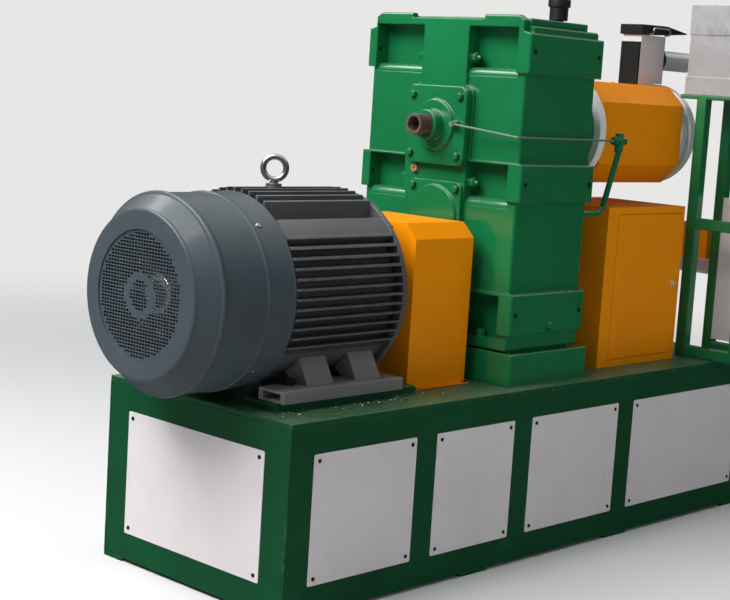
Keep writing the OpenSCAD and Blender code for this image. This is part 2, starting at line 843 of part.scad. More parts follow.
// Lid: a wedge that runs out to a thin edge, with a bent rod for a handle on its near side
module vent_lid() {
    lap_y = 9;
    tip_t = 6;
    grip_r = 4;
    grip_l = 120;
    grip_drop = 32;
    lid_x0 = vent_x - 20;
    lid_x1 = lid_x0 + lid_l;
    lid_hw = vent_w / 2 + lap_y;
    low = vent_z + vent_h;
    grip_x = lid_x0 + 90;
    grip_y = -lid_hw - 20;
    grip_z = low + 40;
    place() color(black) {
        translate([0, lid_hw, 0]) rotate([90, 0, 0]) linear_extrude(2 * lid_hw)
            polygon([[lid_x0, low], [vent_x1, low], [lid_x1, low + 30], [lid_x1, low + 30 + tip_t],
                [lid_x0 + 190, low + lid_t + 4], [lid_x0, low + lid_t]]);
        rod_x(grip_x - grip_r, grip_x + grip_l + grip_r, grip_r, grip_y, grip_z);
        for (x = [grip_x, grip_x + grip_l]) {
            translate([x, grip_y, grip_z - grip_drop]) cylinder(h = grip_drop, r = grip_r);
            rod_y(grip_y - grip_r, -lid_hw, grip_r, x, grip_z - grip_drop);
        }
    }
}

module vent_pipe() {
    place() color(bare_steel)
        rod_x(vent_x1 - 30, stand_x1 + 45, vent_pipe_r, 0, vent_pipe_z);
}

// Cabinet

cab_wall = 2;
open_x0 = cab_x + hinge_border;
open_x1 = cab_x1 - lock_border;
open_z0 = base_h + level_border;
open_z1 = base_h + cab_h - level_border;
pivot_x = open_x0 + door_gap + door_t / 2;
pivot_y = cab_y + door_t / 2;

module cabinet() {
    block_hw = 12;
    block_l = 22;
    pin_in = 10;
    place() color(orange) {
        difference() {
            span([cab_x, cab_y, base_h], [cab_x1, cab_y + cab_d, base_h + cab_h]);
            span([cab_x + cab_wall, cab_y + cab_wall, base_h + cab_wall],
                [cab_x1 - cab_wall, cab_y + cab_d - cab_wall, base_h + cab_h - cab_wall]);
            span([open_x0, cab_y - 1, open_z0], [open_x1, cab_y + cab_wall + 1, open_z1]);
        }
        for (z = [open_z0 - block_l, open_z1])
            span([pivot_x - block_hw, cab_y + cab_wall, z],
                [pivot_x + block_hw, cab_y + door_t + 6, z + block_l]);
        for (z = [open_z0 - 2, open_z1 - door_gap - pin_in])
            translate([pivot_x, pivot_y, z]) cylinder(h = door_gap + pin_in + 2, r = pin_r);
    }
}

module cabinet_door() {
    bore_l = 12;
    z0 = open_z0 + door_gap;
    z1 = open_z1 - door_gap;
    place() color(orange) difference() {
        union() {
            translate([pivot_x, pivot_y, z0]) cylinder(h = z1 - z0, r = door_t / 2);
            span([pivot_x, cab_y, z0], [open_x1 - door_gap, cab_y + door_t, z1]);
        }
        for (z = [z0 - 1, z1 - bore_l])
            translate([pivot_x, pivot_y, z]) cylinder(h = bore_l + 1, r = pin_r + run_fit);
    }
}

module door_lock() {
    lock_h = 312;
    place() color(bare_steel)
        rod_y(cab_y - 12, cab_y, 13, open_x1 - door_gap - 26, base_h + lock_h);
}

// Stand

module stand_frame() {
    top_t2 = 18;
    top_z = base_h + stand_h - top_t2;
    mid_z = base_h + mid_rail_h;
    place() color(steel_green) {
        for (x = [stand_x, stand_x1 - tube]) {
            for (y = [stand_y0, stand_y1 - tube])
                span([x, y, base_h], [x + tube, y + tube, top_z]);
            span([x, stand_y0 + tube, base_h], [x + tube, stand_y1 - tube, base_h + tube]);
            span([x, stand_y0 + tube, mid_z], [x + tube, stand_y1 - tube, mid_z + tube]);
        }
        span([stand_x, stand_y0, top_z], [stand_x1, stand_y1 + 80, base_h + stand_h]);
    }
}

module stand_panel() {
    panel_x = stand_x1 - tube;
    panel_z0 = base_h + tube + 15;
    panel_z1 = base_h + mid_rail_h + tube + 85;
    place() color(panel_white)
        span([panel_x - 3, stand_y0 + tube, panel_z0], [panel_x, stand_y1 - tube, panel_z1]);
}

// Hopper: an open box with a lip round its foot and a skirt round its rim
module feed_hopper() {
    wall = 3;
    lip_h = 72;
    skirt_h = 120;
    x0 = stand_x + 6;
    x1 = stand_x1 - 6;
    y0 = stand_y0 + 15;
    y1 = stand_y1 + 60;
    z0 = base_h + stand_h;
    z1 = z0 + hopper_h;
    place() color(bare_steel) difference() {
        union() {
            span([x0, y0, z0], [x1, y1, z1]);
            span([x0 - 4, y0 - 4, z0], [x1 + 4, y1 + 4, z0 + lip_h]);
            span([x0 - 3, y0 - 3, z1 - skirt_h], [x1 + 3, y1 + 3, z1]);
        }
        span([x0 + wall, y0 + wall, z0 + wall], [x1 - wall, y1 - wall, z1 + 1]);
    }
}

// Terminal box on a channel behind the stand

bracket_z = base_h + 330;
bracket_h = 63;
bracket_l = 240;

module box_bracket() {
    web = 6;
    place() color(panel_white) difference() {
        span([stand_x1 - tube, stand_y1, bracket_z], [stand_x1, stand_y1 + bracket_l, bracket_z + bracket_h]);
        span([stand_x1 - tube - 1, stand_y1 - 1, bracket_z + web],
            [stand_x1 - web, stand_y1 + bracket_l + 1, bracket_z + bracket_h - web]);
    }
}

module terminal_box() {
    box_h = 144;
    place() color(orange)
        span([stand_x1 - tube, stand_y1 + 20, bracket_z + bracket_h],
            [stand_x1 + 40, stand_y1 + bracket_l - 10, bracket_z + bracket_h + box_h]);
}

base_top();
side_walls();
end_walls();
base_pads();
end_panels();
front_panels();
rear_panels();
motor_rails();
motor_feet();
motor_body();
drive_end_shield();
fan_end_shield();
fan_cowl();
fan_grille();
cooling_fan();
motor_shaft();
eye_bolt();
coupling_guard();
gearbox_foot();
gearbox_housing();
gearbox_top_cover();
breather();
upper_bearing_cover();
middle_bearing_cover();
screw_shaft();
oil_pipe();
oil_elbow();
return_pipe();
level_plug();
thrust_housing();
flange_ring();
barrel();
barrel_guard();
outlet_flange();
vent_chamber();
vent_side_plate();
vent_lid();
vent_pipe();
cabinet();
cabinet_door();
door_lock();
stand_frame();
stand_panel();
feed_hopper();
box_bracket();
terminal_box();
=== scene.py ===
# %% [markdown]
# # Dressing a plastic extruder
# The real machine is a heavy motor, an orange coupling guard, a tall cast gearbox and a guarded barrel on
# one welded base. Its solids come from the CAD pack as a fixed frame. This lesson rounds their edges, adds
# the bolts, welds and fittings that a maker would see, and paints every surface with materials made of nodes.
# Loading the frame comes first, because every later piece takes its place from the CAD boxes.

# %% Load the frame
import json
import math
import random

import bmesh
import bpy
from mathutils import Matrix, Vector

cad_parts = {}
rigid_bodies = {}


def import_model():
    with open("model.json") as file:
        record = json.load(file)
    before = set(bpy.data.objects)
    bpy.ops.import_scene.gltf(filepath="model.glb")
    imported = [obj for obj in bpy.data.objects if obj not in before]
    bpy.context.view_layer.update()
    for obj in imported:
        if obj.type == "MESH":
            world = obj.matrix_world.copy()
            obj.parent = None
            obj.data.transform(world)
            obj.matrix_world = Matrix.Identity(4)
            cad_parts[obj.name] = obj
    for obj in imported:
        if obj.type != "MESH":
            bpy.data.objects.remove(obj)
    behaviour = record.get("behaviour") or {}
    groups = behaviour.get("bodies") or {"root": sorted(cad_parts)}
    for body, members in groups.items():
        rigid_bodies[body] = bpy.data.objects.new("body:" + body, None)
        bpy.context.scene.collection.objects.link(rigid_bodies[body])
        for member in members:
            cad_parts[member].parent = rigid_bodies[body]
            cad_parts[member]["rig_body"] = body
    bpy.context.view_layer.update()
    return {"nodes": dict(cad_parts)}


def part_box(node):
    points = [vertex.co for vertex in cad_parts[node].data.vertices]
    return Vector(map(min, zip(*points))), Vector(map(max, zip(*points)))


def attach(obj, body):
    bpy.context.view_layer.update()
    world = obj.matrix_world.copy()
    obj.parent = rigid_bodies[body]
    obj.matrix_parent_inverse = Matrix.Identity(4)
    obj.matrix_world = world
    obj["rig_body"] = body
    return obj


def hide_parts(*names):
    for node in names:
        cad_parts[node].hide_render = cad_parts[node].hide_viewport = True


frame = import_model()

# %% [markdown]
# The camera stands in front of the motor's end, a little above its shaft. Its place and its three angles were
# worked out from the vanishing points of the machine's own straight edges, so the picture lines up with the
# real view without any shift of the lens.

# %% Camera
IMAGE_WIDTH = 730
FOCAL_PIXELS = 1584.87
SENSOR_WIDTH = 36
CAMERA_AT = (-4.4797, -3.7761, 1.6532)
YAW, PITCH, ROLL = (math.radians(a) for a in (-46.4166, 7.6137, 3.6233))
forward = Vector((-math.sin(YAW) * math.cos(PITCH), math.cos(YAW) * math.cos(PITCH), -math.sin(PITCH)))
side = Vector((math.cos(YAW), math.sin(YAW), 0))
above = side.cross(forward)
camera_x = side * math.cos(ROLL) + above * math.sin(ROLL)
camera_y = above * math.cos(ROLL) - side * math.sin(ROLL)

camera = bpy.data.objects.new("camera", bpy.data.cameras.new("camera"))
bpy.context.scene.collection.objects.link(camera)
camera.matrix_world = Matrix.Translation(CAMERA_AT) @ Matrix(
    (camera_x, camera_y, -forward)).transposed().to_4x4()
camera.data.sensor_width = SENSOR_WIDTH
camera.data.sensor_fit = "HORIZONTAL"
camera.data.lens = FOCAL_PIXELS / IMAGE_WIDTH * SENSOR_WIDTH
bpy.context.scene.camera = camera
bpy.context.scene.view_settings.view_transform = "Standard"
print("lens:", round(camera.data.lens, 2), "mm")

# %% [markdown]
# Node trees are long to write by hand, so small helpers make them. The first adds any node and joins its
# inputs, where a string or number key picks the socket. The others add a Math node, a soft step between two
# values, a mix of two colours, a noise, and an empty node group with its sockets.

# %% Node helpers
def node(tree, kind, inputs=None, **settings):
    made = tree.nodes.new("ShaderNode" + kind)
    for key, value in settings.items():
        setattr(made, key, value)
    for key, value in (inputs or {}).items():
        if isinstance(value, bpy.types.NodeSocket):
            tree.links.new(value, made.inputs[key])
        else:
            made.inputs[key].default_value = value
    return made


def maths(tree, operation, a, b=0.0, clamp=False):
    return node(tree, "Math", {0: a, 1: b}, operation=operation, use_clamp=clamp).outputs[0]


def spread(tree, value, low, high, to_low=0.0, to_high=1.0):
    inputs = {"Value": value, "From Min": low, "From Max": high, "To Min": to_low, "To Max": to_high}
    return node(tree, "MapRange", inputs, interpolation_type="SMOOTHSTEP").outputs[0]


def mix_colour(tree, share, a, b):
    return node(tree, "Mix", {0: share, 6: a, 7: b}, data_type="RGBA").outputs[2]


def noise(tree, vector, scale, detail=3.0, rough=0.55):
    inputs = {"Vector": vector, "Scale": scale, "Detail": detail, "Roughness": rough}
    return node(tree, "TexNoise", inputs).outputs[0]


def new_group(name, inputs, outputs):
    tree = bpy.data.node_groups.new(name, "ShaderNodeTree")
    for label, value in inputs.items():
        kind = "NodeSocketVector" if label == "Vector" else "NodeSocketFloat"
        socket = tree.interface.new_socket(label, in_out="INPUT", socket_type=kind)
        if value is not None:
            socket.default_value = value
    for label in outputs:
        tree.interface.new_socket(label, in_out="OUTPUT", socket_type="NodeSocketFloat")
    return tree, tree.nodes.new("NodeGroupInput").outputs, tree.nodes.new("NodeGroupOutput").inputs


print("node helpers ready")

# %% [markdown]
# Paint chips first where two faces meet. The Bevel node gives the normal that a rounded edge would have, so
# its angle to the real normal is a mask of the edges; a noise breaks it up, because real wear is never even.

# %% Effect: edge wear
edge_wear, given, result = new_group(
    "edge wear", {"Vector": None, "Radius": 0.004, "Amount": 0.5, "Scale": 30.0}, ["Mask"])
round_normal = node(edge_wear, "Bevel", {"Radius": given["Radius"]}, samples=4).outputs[0]
true_normal = node(edge_wear, "NewGeometry").outputs["Normal"]
bend = node(edge_wear, "VectorMath", {0: round_normal, 1: true_normal},
            operation="DOT_PRODUCT").outputs["Value"]
edge = spread(edge_wear, bend, 0.995, 0.85)
broken = noise(edge_wear, given["Vector"], given["Scale"], 5.0, 0.7)
patchy = spread(edge_wear, maths(edge_wear, "ADD", broken, given["Amount"]), 0.85, 1.0)
edge_wear.links.new(maths(edge_wear, "MULTIPLY", edge, patchy, True), result["Mask"])
print("edge wear:", len(edge_wear.nodes), "nodes")

# %% [markdown]
# Dust settles on what faces up, thicker in some places than in others. The mask is the upward part of the
# normal times two noises, one broad and one fine.

# %% Effect: settled dust
settled_dust, given, result = new_group(
    "settled dust", {"Vector": None, "Amount": 0.5, "Scale": 4.0}, ["Mask"])
true_normal = node(settled_dust, "NewGeometry").outputs["Normal"]
facing = node(settled_dust, "SeparateXYZ", {0: true_normal}).outputs[2]
upward = spread(settled_dust, facing, 0.35, 0.98)
broad = noise(settled_dust, given["Vector"], given["Scale"], 4.0)
fine = noise(settled_dust, given["Vector"], maths(settled_dust, "MULTIPLY", given["Scale"], 22.0), 2.0)
lying = maths(settled_dust, "ADD", maths(settled_dust, "MULTIPLY", broad, 0.7),
              maths(settled_dust, "MULTIPLY", fine, 0.5))
lying = spread(settled_dust, lying, 0.35, 0.85)
settled_dust.links.new(maths(settled_dust, "MULTIPLY", maths(settled_dust, "MULTIPLY", upward, lying),
                             given["Amount"], True), result["Mask"])
print("settled dust:", len(settled_dust.nodes), "nodes")

# %% [markdown]
# Sprayed enamel isn't flat: it dries with a faint orange peel over the cast or rolled metal below it. The
# group adds a fine ripple to a broad one and gives a height for a Bump node.

# %% Effect: paint skin
paint_skin, given, result = new_group(
    "paint skin", {"Vector": None, "Ripple Scale": 160.0, "Cast Scale": 14.0, "Cast Share": 0.4},
    ["Height", "Drift"])
ripple = noise(paint_skin, given["Vector"], given["Ripple Scale"], 2.0, 0.5)
cast = noise(paint_skin, given["Vector"], given["Cast Scale"], 4.0, 0.6)
height = maths(paint_skin, "ADD", maths(paint_skin, "MULTIPLY", ripple, 0.35),
               maths(paint_skin, "MULTIPLY", cast, given["Cast Share"]))
paint_skin.links.new(height, result["Height"])
paint_skin.links.new(noise(paint_skin, given["Vector"], 2.3, 4.0, 0.6), result["Drift"])
print("paint skin:", len(paint_skin.nodes), "nodes")

# %% [markdown]
# Oily hands, drips and wash marks run down upright faces. A noise whose upright coordinate is scaled down is
# drawn out along the fall and gives streaks; they show in the colour and, more, in the gloss.

# %% Effect: runs and smears
run_marks, given, result = new_group(
    "runs and smears", {"Vector": None, "Scale": 9.0, "Amount": 0.5}, ["Mask"])
long_way = node(run_marks, "Mapping", {"Vector": given["Vector"], "Scale": (1.0, 1.0, 0.12)}).outputs[0]
streak = spread(run_marks, noise(run_marks, long_way, given["Scale"], 5.0, 0.65), 0.5, 0.78)
cloud = spread(run_marks, noise(run_marks, given["Vector"], 1.7, 2.0), 0.35, 0.7)
run_marks.links.new(maths(run_marks, "MULTIPLY", maths(run_marks, "MULTIPLY", streak, cloud),
                          given["Amount"], True), result["Mask"])
print("runs and smears:", len(run_marks.nodes), "nodes")

# %% [markdown]
# Every painted part takes the same recipe with its own values: a base colour that drifts a little, runs,
# worn edges that show the primer, dust on top, and an enamel skin. The Principled BSDF stands in the
# material itself, and the numbers that don't change over the surface are set on its own sockets. Thick cast
# iron can ask for round_by, a soft round of that radius on all its edges, made by a Bevel node.

# %% Recipe: enamel
DUST = (0.30, 0.25, 0.17, 1.0)
PRIMER = (0.20, 0.19, 0.17, 1.0)


def enamel(name, colour, deep, roughness=0.28, coat=0.5, dust=0.35, dust_scale=4.0, wear=0.38, runs=0.35,
           skin=0.25, cast_share=0.4, ripple=160.0, dust_colour=DUST, worn=PRIMER, mirror=0.5, round_by=0.0):
    material = bpy.data.materials.new(name)
    material.use_nodes = True
    tree = material.node_tree
    tree.nodes.clear()
    place = node(tree, "TexCoord").outputs["Object"]

    def effect(group, **values):
        made = node(tree, "Group", node_tree=group)
        tree.links.new(place, made.inputs["Vector"])
        for label, value in values.items():
            made.inputs[label.replace("_", " ")].default_value = value
        return made.outputs

    surface = effect(paint_skin, Ripple_Scale=ripple, Cast_Share=cast_share)
    colour_now = mix_colour(tree, spread(tree, surface["Drift"], 0.3, 0.72), (*colour, 1), (*deep, 1))
    marks = effect(run_marks, Amount=runs)["Mask"]
    colour_now = mix_colour(tree, marks, colour_now, tuple(c * 0.55 for c in deep) + (1,))
    chips = effect(edge_wear, Amount=wear)["Mask"]
    colour_now = mix_colour(tree, chips, colour_now, worn)
    lying = effect(settled_dust, Amount=dust, Scale=dust_scale)["Mask"]
    colour_now = mix_colour(tree, lying, colour_now, dust_colour)
    matt = maths(tree, "ADD", maths(tree, "MULTIPLY", lying, 0.5), maths(tree, "MULTIPLY", chips, 0.3))
    matt = maths(tree, "ADD", matt, maths(tree, "MULTIPLY", marks, 0.22))
    matt = maths(tree, "ADD", matt, maths(tree, "MULTIPLY", surface["Drift"], 0.12))
    rough = maths(tree, "ADD", matt, roughness - 0.06, True)
    bump = node(tree, "Bump", {"Height": surface["Height"], "Strength": skin, "Distance": 0.0012})
    if round_by:
        tree.links.new(node(tree, "Bevel", {"Radius": round_by}, samples=6).outputs[0], bump.inputs["Normal"])
    shader = node(tree, "BsdfPrincipled", {
        "Base Color": colour_now, "Roughness": rough, "Normal": bump.outputs[0], "Specular IOR Level": mirror,
        "Coat Weight": coat, "Coat Roughness": 0.12})
    node(tree, "OutputMaterial", {"Surface": shader.outputs[0]})
    return material


# %% [markdown]
# The colours are those of the real machine in plain light: deep gloss green, orange-yellow, motor grey and a
# cool white. Two are not: the base's green is a darker copy of the gearbox's, painted shade for the weaker
# light low on the machine, and its top is that green under a dull film of dust; the flange's white is
# lighter than the rest, painted light where the gearbox shades it. The motor's castings are rougher than its
# sheet-steel cowl. What two castings or two plastics have in common is written once.

# %% Enamels
GREEN = (0.006, 0.163, 0.051)
GREEN_DEEP = (0.005, 0.132, 0.041)
ORANGE = (0.92, 0.300, 0.002)
ORANGE_DEEP = (0.84, 0.262, 0.002)
GREY = (0.060, 0.077, 0.089)
GREY_DEEP = (0.050, 0.064, 0.075)
WHITE = (0.69, 0.645, 0.65)
WHITE_DEEP = (0.63, 0.585, 0.59)

WORN_GREEN = (0.14, 0.26, 0.18, 1)
WORN_WHITE = (0.42, 0.40, 0.38, 1)
ROUGH_CAST = dict(skin=0.45, cast_share=0.9, ripple=110.0)
MOULDED = dict(coat=0.0, wear=0.05, skin=0.12, ripple=260.0)

green_paint = enamel("green enamel", GREEN, GREEN_DEEP, roughness=0.24, coat=0.45, dust=0.10, wear=0.16,
                     worn=(0.12, 0.32, 0.20, 1), mirror=0.4, round_by=0.010)
# A darker copy of the gearbox's green, painted shade for the weaker light low on the base; the top's green
# under dust is the same.
base_green_painted_shade = enamel("green enamel on the base, darkened as painted shade", (0.003, 0.070, 0.024), (0.002, 0.056, 0.019), coat=0.06,
                    dust=0.14, wear=0.34, cast_share=0.25, worn=WORN_GREEN, mirror=0.35)
dust_and_shade_green = enamel("green enamel under dust, darkened as painted shade", (0.005, 0.076, 0.025), (0.004, 0.062, 0.020), coat=0.08,
                     dust=0.92, dust_scale=2.6, cast_share=0.25, worn=WORN_GREEN,
                     dust_colour=(0.100, 0.168, 0.087, 1))
orange_paint = enamel("orange enamel", ORANGE, ORANGE_DEEP, roughness=0.36, coat=0.0, dust=0.03, wear=0.20,
                      runs=0.16, skin=0.18, cast_share=0.15, dust_colour=(0.66, 0.34, 0.05, 1),
                      worn=(0.70, 0.36, 0.03, 1), mirror=0.07)
cowl_paint = enamel("grey enamel on sheet", GREY, GREY_DEEP, roughness=0.34, coat=0.08, dust=0.12, wear=0.30,
                    runs=0.2, skin=0.15, cast_share=0.12, worn=(0.15, 0.17, 0.19, 1), mirror=0.22)
cast_paint = enamel("grey enamel on casting", (0.094, 0.096, 0.101), (0.074, 0.075, 0.080), roughness=0.48,
                    coat=0.05, dust=0.40, wear=0.36, dust_colour=(0.19, 0.17, 0.145, 1),
                    worn=(0.20, 0.19, 0.18, 1), **ROUGH_CAST)
feet_paint = enamel("dusty grey on the feet", (0.205, 0.200, 0.195), (0.165, 0.162, 0.158), roughness=0.5,
                    coat=0.0, dust=0.55, wear=0.30, dust_colour=(0.27, 0.235, 0.19, 1),
                    worn=(0.30, 0.28, 0.26, 1), **ROUGH_CAST)
white_paint = enamel("white enamel", WHITE, WHITE_DEEP, roughness=0.42, coat=0.1, dust=0.15, wear=0.10,
                     runs=0.16, skin=0.1, cast_share=0.1, worn=WORN_WHITE)
# The flange ring's white is lighter than the other white enamel: painted light, to make up for the gearbox's
# shadow on it.
flange_white_painted_light = enamel("white enamel on the flange, lightened as painted light", (0.90, 0.90, 0.89), (0.84, 0.84, 0.83), roughness=0.35,
                    coat=0.2, dust=0.10, wear=0.10, runs=0.12, skin=0.15, cast_share=0.2, worn=WORN_WHITE)
black_paint = enamel("black enamel", (0.009, 0.010, 0.011), (0.006, 0.007, 0.008), roughness=0.40,
                     coat=0.05, dust=0.15, wear=0.2, dust_colour=(0.10, 0.095, 0.085, 1),
                     worn=(0.07, 0.07, 0.07, 1), mirror=0.3)
plastic = enamel("black plastic", (0.014, 0.014, 0.016), (0.010, 0.010, 0.011), roughness=0.36, dust=0.30,
                 dust_colour=(0.14, 0.13, 0.12, 1), **MOULDED)
fan_plastic = enamel("grey plastic of the fan", (0.20, 0.20, 0.21), (0.16, 0.16, 0.17), roughness=0.42,
                     dust=0.4, dust_colour=(0.20, 0.18, 0.15, 1), **MOULDED)
print("enamels:", len(bpy.data.materials))

# %% [markdown]
# Bare metal shows how it was made: turned rings, brushed lines, rust where it stood unpainted. One recipe
# covers them: lines along one axis in the roughness and the bump, and a stain mask that mixes in a second,
# less metallic colour.

# %% Recipe: bare metal
def bare_metal(name, colour, stain, stained=0.3, roughness=0.3, lines=(1.0, 60.0, 1.0), stain_scale=12.0,
               stain_metal=0.2, bump=0.08, metal=1.0):
    material = bpy.data.materials.new(name)
    material.use_nodes = True
    tree = material.node_tree
    tree.nodes.clear()
    place = node(tree, "TexCoord").outputs["Object"]
    drawn = node(tree, "Mapping", {"Vector": place, "Scale": lines}).outputs[0]
    grain = noise(tree, drawn, 14.0, 4.0, 0.6)
    cover = maths(tree, "ADD", noise(tree, place, stain_scale, 6.0, 0.65), stained - 0.5)
    cover = spread(tree, cover, 0.42, 0.62)
    pits = maths(tree, "ADD", maths(tree, "MULTIPLY", grain, 0.4), maths(tree, "MULTIPLY", cover, 0.8))
    rough = maths(tree, "ADD", maths(tree, "MULTIPLY", grain, 0.16), maths(tree, "MULTIPLY", cover, 0.45))
    shader = node(tree, "BsdfPrincipled", {
        "Base Color": mix_colour(tree, cover, (*colour, 1), (*stain, 1)),
        "Metallic": spread(tree, cover, 0.0, 1.0, metal, stain_metal),
        "Roughness": maths(tree, "ADD", rough, roughness - 0.08, True),
        "Normal": node(tree, "Bump", {"Height": pits, "Strength": bump, "Distance": 0.001}).outputs[0]})
    node(tree, "OutputMaterial", {"Surface": shader.outputs[0]})
    return material


EVEN = (1, 1, 1)
steel = bare_metal("bare steel", (0.50, 0.49, 0.47), (0.16, 0.12, 0.09), stained=0.30, roughness=0.34)
rusty = bare_metal("rusty shaft end", (0.26, 0.22, 0.195), (0.070, 0.045, 0.032), stained=0.60,
                   roughness=0.42, stain_scale=26.0, stain_metal=0.0, bump=0.3)
polished = bare_metal("polished steel", (0.80, 0.80, 0.79), (0.42, 0.42, 0.42), stained=0.12,
                      roughness=0.20, lines=EVEN, stain_scale=8.0, metal=0.6)
stainless = bare_metal("brushed stainless", (0.42, 0.42, 0.425), (0.30, 0.298, 0.30), stained=0.42,
                       roughness=0.36, lines=(40, 40, 1), stain_scale=4.5, stain_metal=0.42, bump=0.004,
                       metal=0.42)
ring_silver = bare_metal("silver paint", (0.86, 0.87, 0.87), (0.60, 0.60, 0.59), stained=0.20,
                         roughness=0.32, lines=EVEN, stain_scale=9.0, metal=0.25)
pipe_steel = bare_metal("tinned pipe", (0.13, 0.19, 0.15), (0.06, 0.11, 0.08), stained=0.34, roughness=0.50,
                        lines=EVEN, stain_scale=30.0, stain_metal=0.1, metal=0.2)
bright_pipe = bare_metal("bright pipe", (0.97, 0.97, 0.96), (0.80, 0.80, 0.80), stained=0.05,
                         roughness=0.18, lines=EVEN, stain_scale=8.0, stain_metal=0.5, metal=0.5)
brass = bare_metal("brass", (0.70, 0.50, 0.30), (0.26, 0.15, 0.08), stained=0.25, roughness=0.30,
                   lines=EVEN, stain_scale=60.0, stain_metal=0.5, metal=0.6)
print("metals ready, materials:", len(bpy.data.materials))

# %% [markdown]
# A CAD solid has knife edges, and light shows at once that no real casting or folded sheet does. Each solid
# is copied, its loose triangles are merged into flat faces, and the sharp edges get a small real bevel. The
# copy stands for the CAD node, rides on the same body and keeps its place in its mesh.

# %% Dressing a CAD node
BODY_OF = {n: o["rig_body"] for n, o in frame["nodes"].items()}


def centre(cad_name):
    low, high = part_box(cad_name)
    return (low + high) / 2


def finish_piece(name, bm, body, material, smooth=35):
    mesh = bpy.data.meshes.new(name)
    bm.to_mesh(mesh)
    bm.free()
    mesh.materials.append(material)
    piece = bpy.data.objects.new(name, mesh)
    bpy.context.scene.collection.objects.link(piece)
    for polygon in mesh.polygons:
        polygon.use_smooth = True
    mesh.set_sharp_from_angle(angle=math.radians(smooth))
    weighted = piece.modifiers.new("weighted normals", "WEIGHTED_NORMAL")
    weighted.keep_sharp = True
    weighted.weight = 100
    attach(piece, body)
    return piece


def merged_copy(cad_name):
    bm = bmesh.new()
    bm.from_mesh(frame["nodes"][cad_name].data)
    bmesh.ops.remove_doubles(bm, verts=bm.verts[:], dist=0.00002)
    bmesh.ops.dissolve_limit(bm, angle_limit=math.radians(0.6), verts=bm.verts[:], edges=bm.edges[:])
    return bm


def sharp_edges(bm, least=28):
    limit = math.radians(least)
    return [e for e in bm.edges if len(e.link_faces) == 2 and e.calc_face_angle(0) > limit]


def round_edges(bm, width, segments=2, least=28):
    bmesh.ops.bevel(bm, geom=sharp_edges(bm, least), offset=width, offset_type="OFFSET",
                    segments=segments, profile=0.5, affect="EDGES", clamp_overlap=True, material=-1)


def round_castings(bm, width, least_length=0.09):
    """A wide round on the long outward edges, as a foundry pattern gives them."""
    def roomy(edge):
        beside = [other for v in edge.verts for other in v.link_edges if other is not edge]
        return all(other.calc_length() > width * 1.3 for other in beside)

    long_edges = [e for e in sharp_edges(bm, 40)
                  if e.is_convex and e.calc_length() > least_length and roomy(e)]
    bmesh.ops.bevel(bm, geom=long_edges, offset=width, offset_type="OFFSET", segments=4, profile=0.5,
                    affect="EDGES", clamp_overlap=False, material=-1)


def dress(cad_name, material, width=0.0015, segments=2, least=28, casting=0.0):
    bm = merged_copy(cad_name)
    if casting:
        round_castings(bm, casting)
    if width:
        round_edges(bm, width, segments, least)
    piece = finish_piece("dressed_" + cad_name, bm, BODY_OF[cad_name], material)
    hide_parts(cad_name)


print("rides:", {b: sum(1 for v in BODY_OF.values() if v == b) for b in set(BODY_OF.values())})

# %% [markdown]
# The welded base is bent and cut from plate: its edges are only just broken. Its top plate carries a dull
# film of dust, its sides are clean. The white sheets hide the openings in the sides.

# %% Base
# The base's sides and top take the darker green, which is painted shade for the weaker light low down.
dress("base_top", dust_and_shade_green, 0.003)
for part in ("side_walls", "end_walls"):
    dress(part, base_green_painted_shade, 0.0015)
dress("base_pads", base_green_painted_shade, 0.002)
for part in ("end_panels", "front_panels", "rear_panels"):
    dress(part, white_paint, 0.0008)
dress("motor_rails", base_green_painted_shade, 0.003)

# %% [markdown]
# The motor mixes two finishes: the fan cowl is smooth painted sheet, while the finned frame, the shields and
# the feet are rough castings. Their bevels are wider, because a casting's edges are never sharp. The shaft is
# drawn a hair thinner than its bore, so that the flat sides of the two round meshes never cross as it turns.

# %% Motor
dress("motor_feet", feet_paint, 0.004)
dress("motor_body", cast_paint, 0.0016, 2, 40)
dress("drive_end_shield", cast_paint, 0.003)
dress("fan_end_shield", cast_paint, 0.003)
dress("cooling_fan", fan_plastic, 0.0015)
THINNER = 0.985
shaft_line = centre("motor_shaft")
shaft = merged_copy("motor_shaft")
bmesh.ops.scale(shaft, vec=(1, THINNER, THINNER), space=Matrix.Translation(-shaft_line), verts=shaft.verts[:])
round_edges(shaft, 0.002)
shaft_piece = finish_piece("motor_shaft_turned", shaft, BODY_OF["motor_shaft"], steel)
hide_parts("motor_shaft")
dress("eye_bolt", steel, 0.0015)
print("motor dressed")

# %% [markdown]
# Guards are folded from thin sheet. The green gearbox is thick cast iron with a glossy coat that fills its
# corners, so its edges are rounded most of all.

# %% Guards and gearbox
dress("coupling_guard", orange_paint, 0.0012)
dress("gearbox_foot", green_paint, 0.0015, 2, casting=0.0065)
dress("gearbox_housing", green_paint, 0.002, 2, casting=0.009)
dress("gearbox_top_cover", green_paint, 0.004, 3)
dress("upper_bearing_cover", green_paint, 0.004, 3)
dress("middle_bearing_cover", green_paint, 0.003, 3)
dress("breather", plastic, 0.003)
dress("screw_shaft", rusty, 0.003)
dress("oil_pipe", pipe_steel, 0)
dress("oil_elbow", green_paint, 0.003)
dress("return_pipe", green_paint, 0)
print("gearbox dressed")

# %% [markdown]
# Behind the gearbox come the thrust housing, the white flange, the guarded barrel and its silver rings, then
# the pale vent with its black lid. The hopper is brushed stainless sheet.

# %% Barrel, vent, cabinet and stand
dress("thrust_housing", green_paint, 0.004)
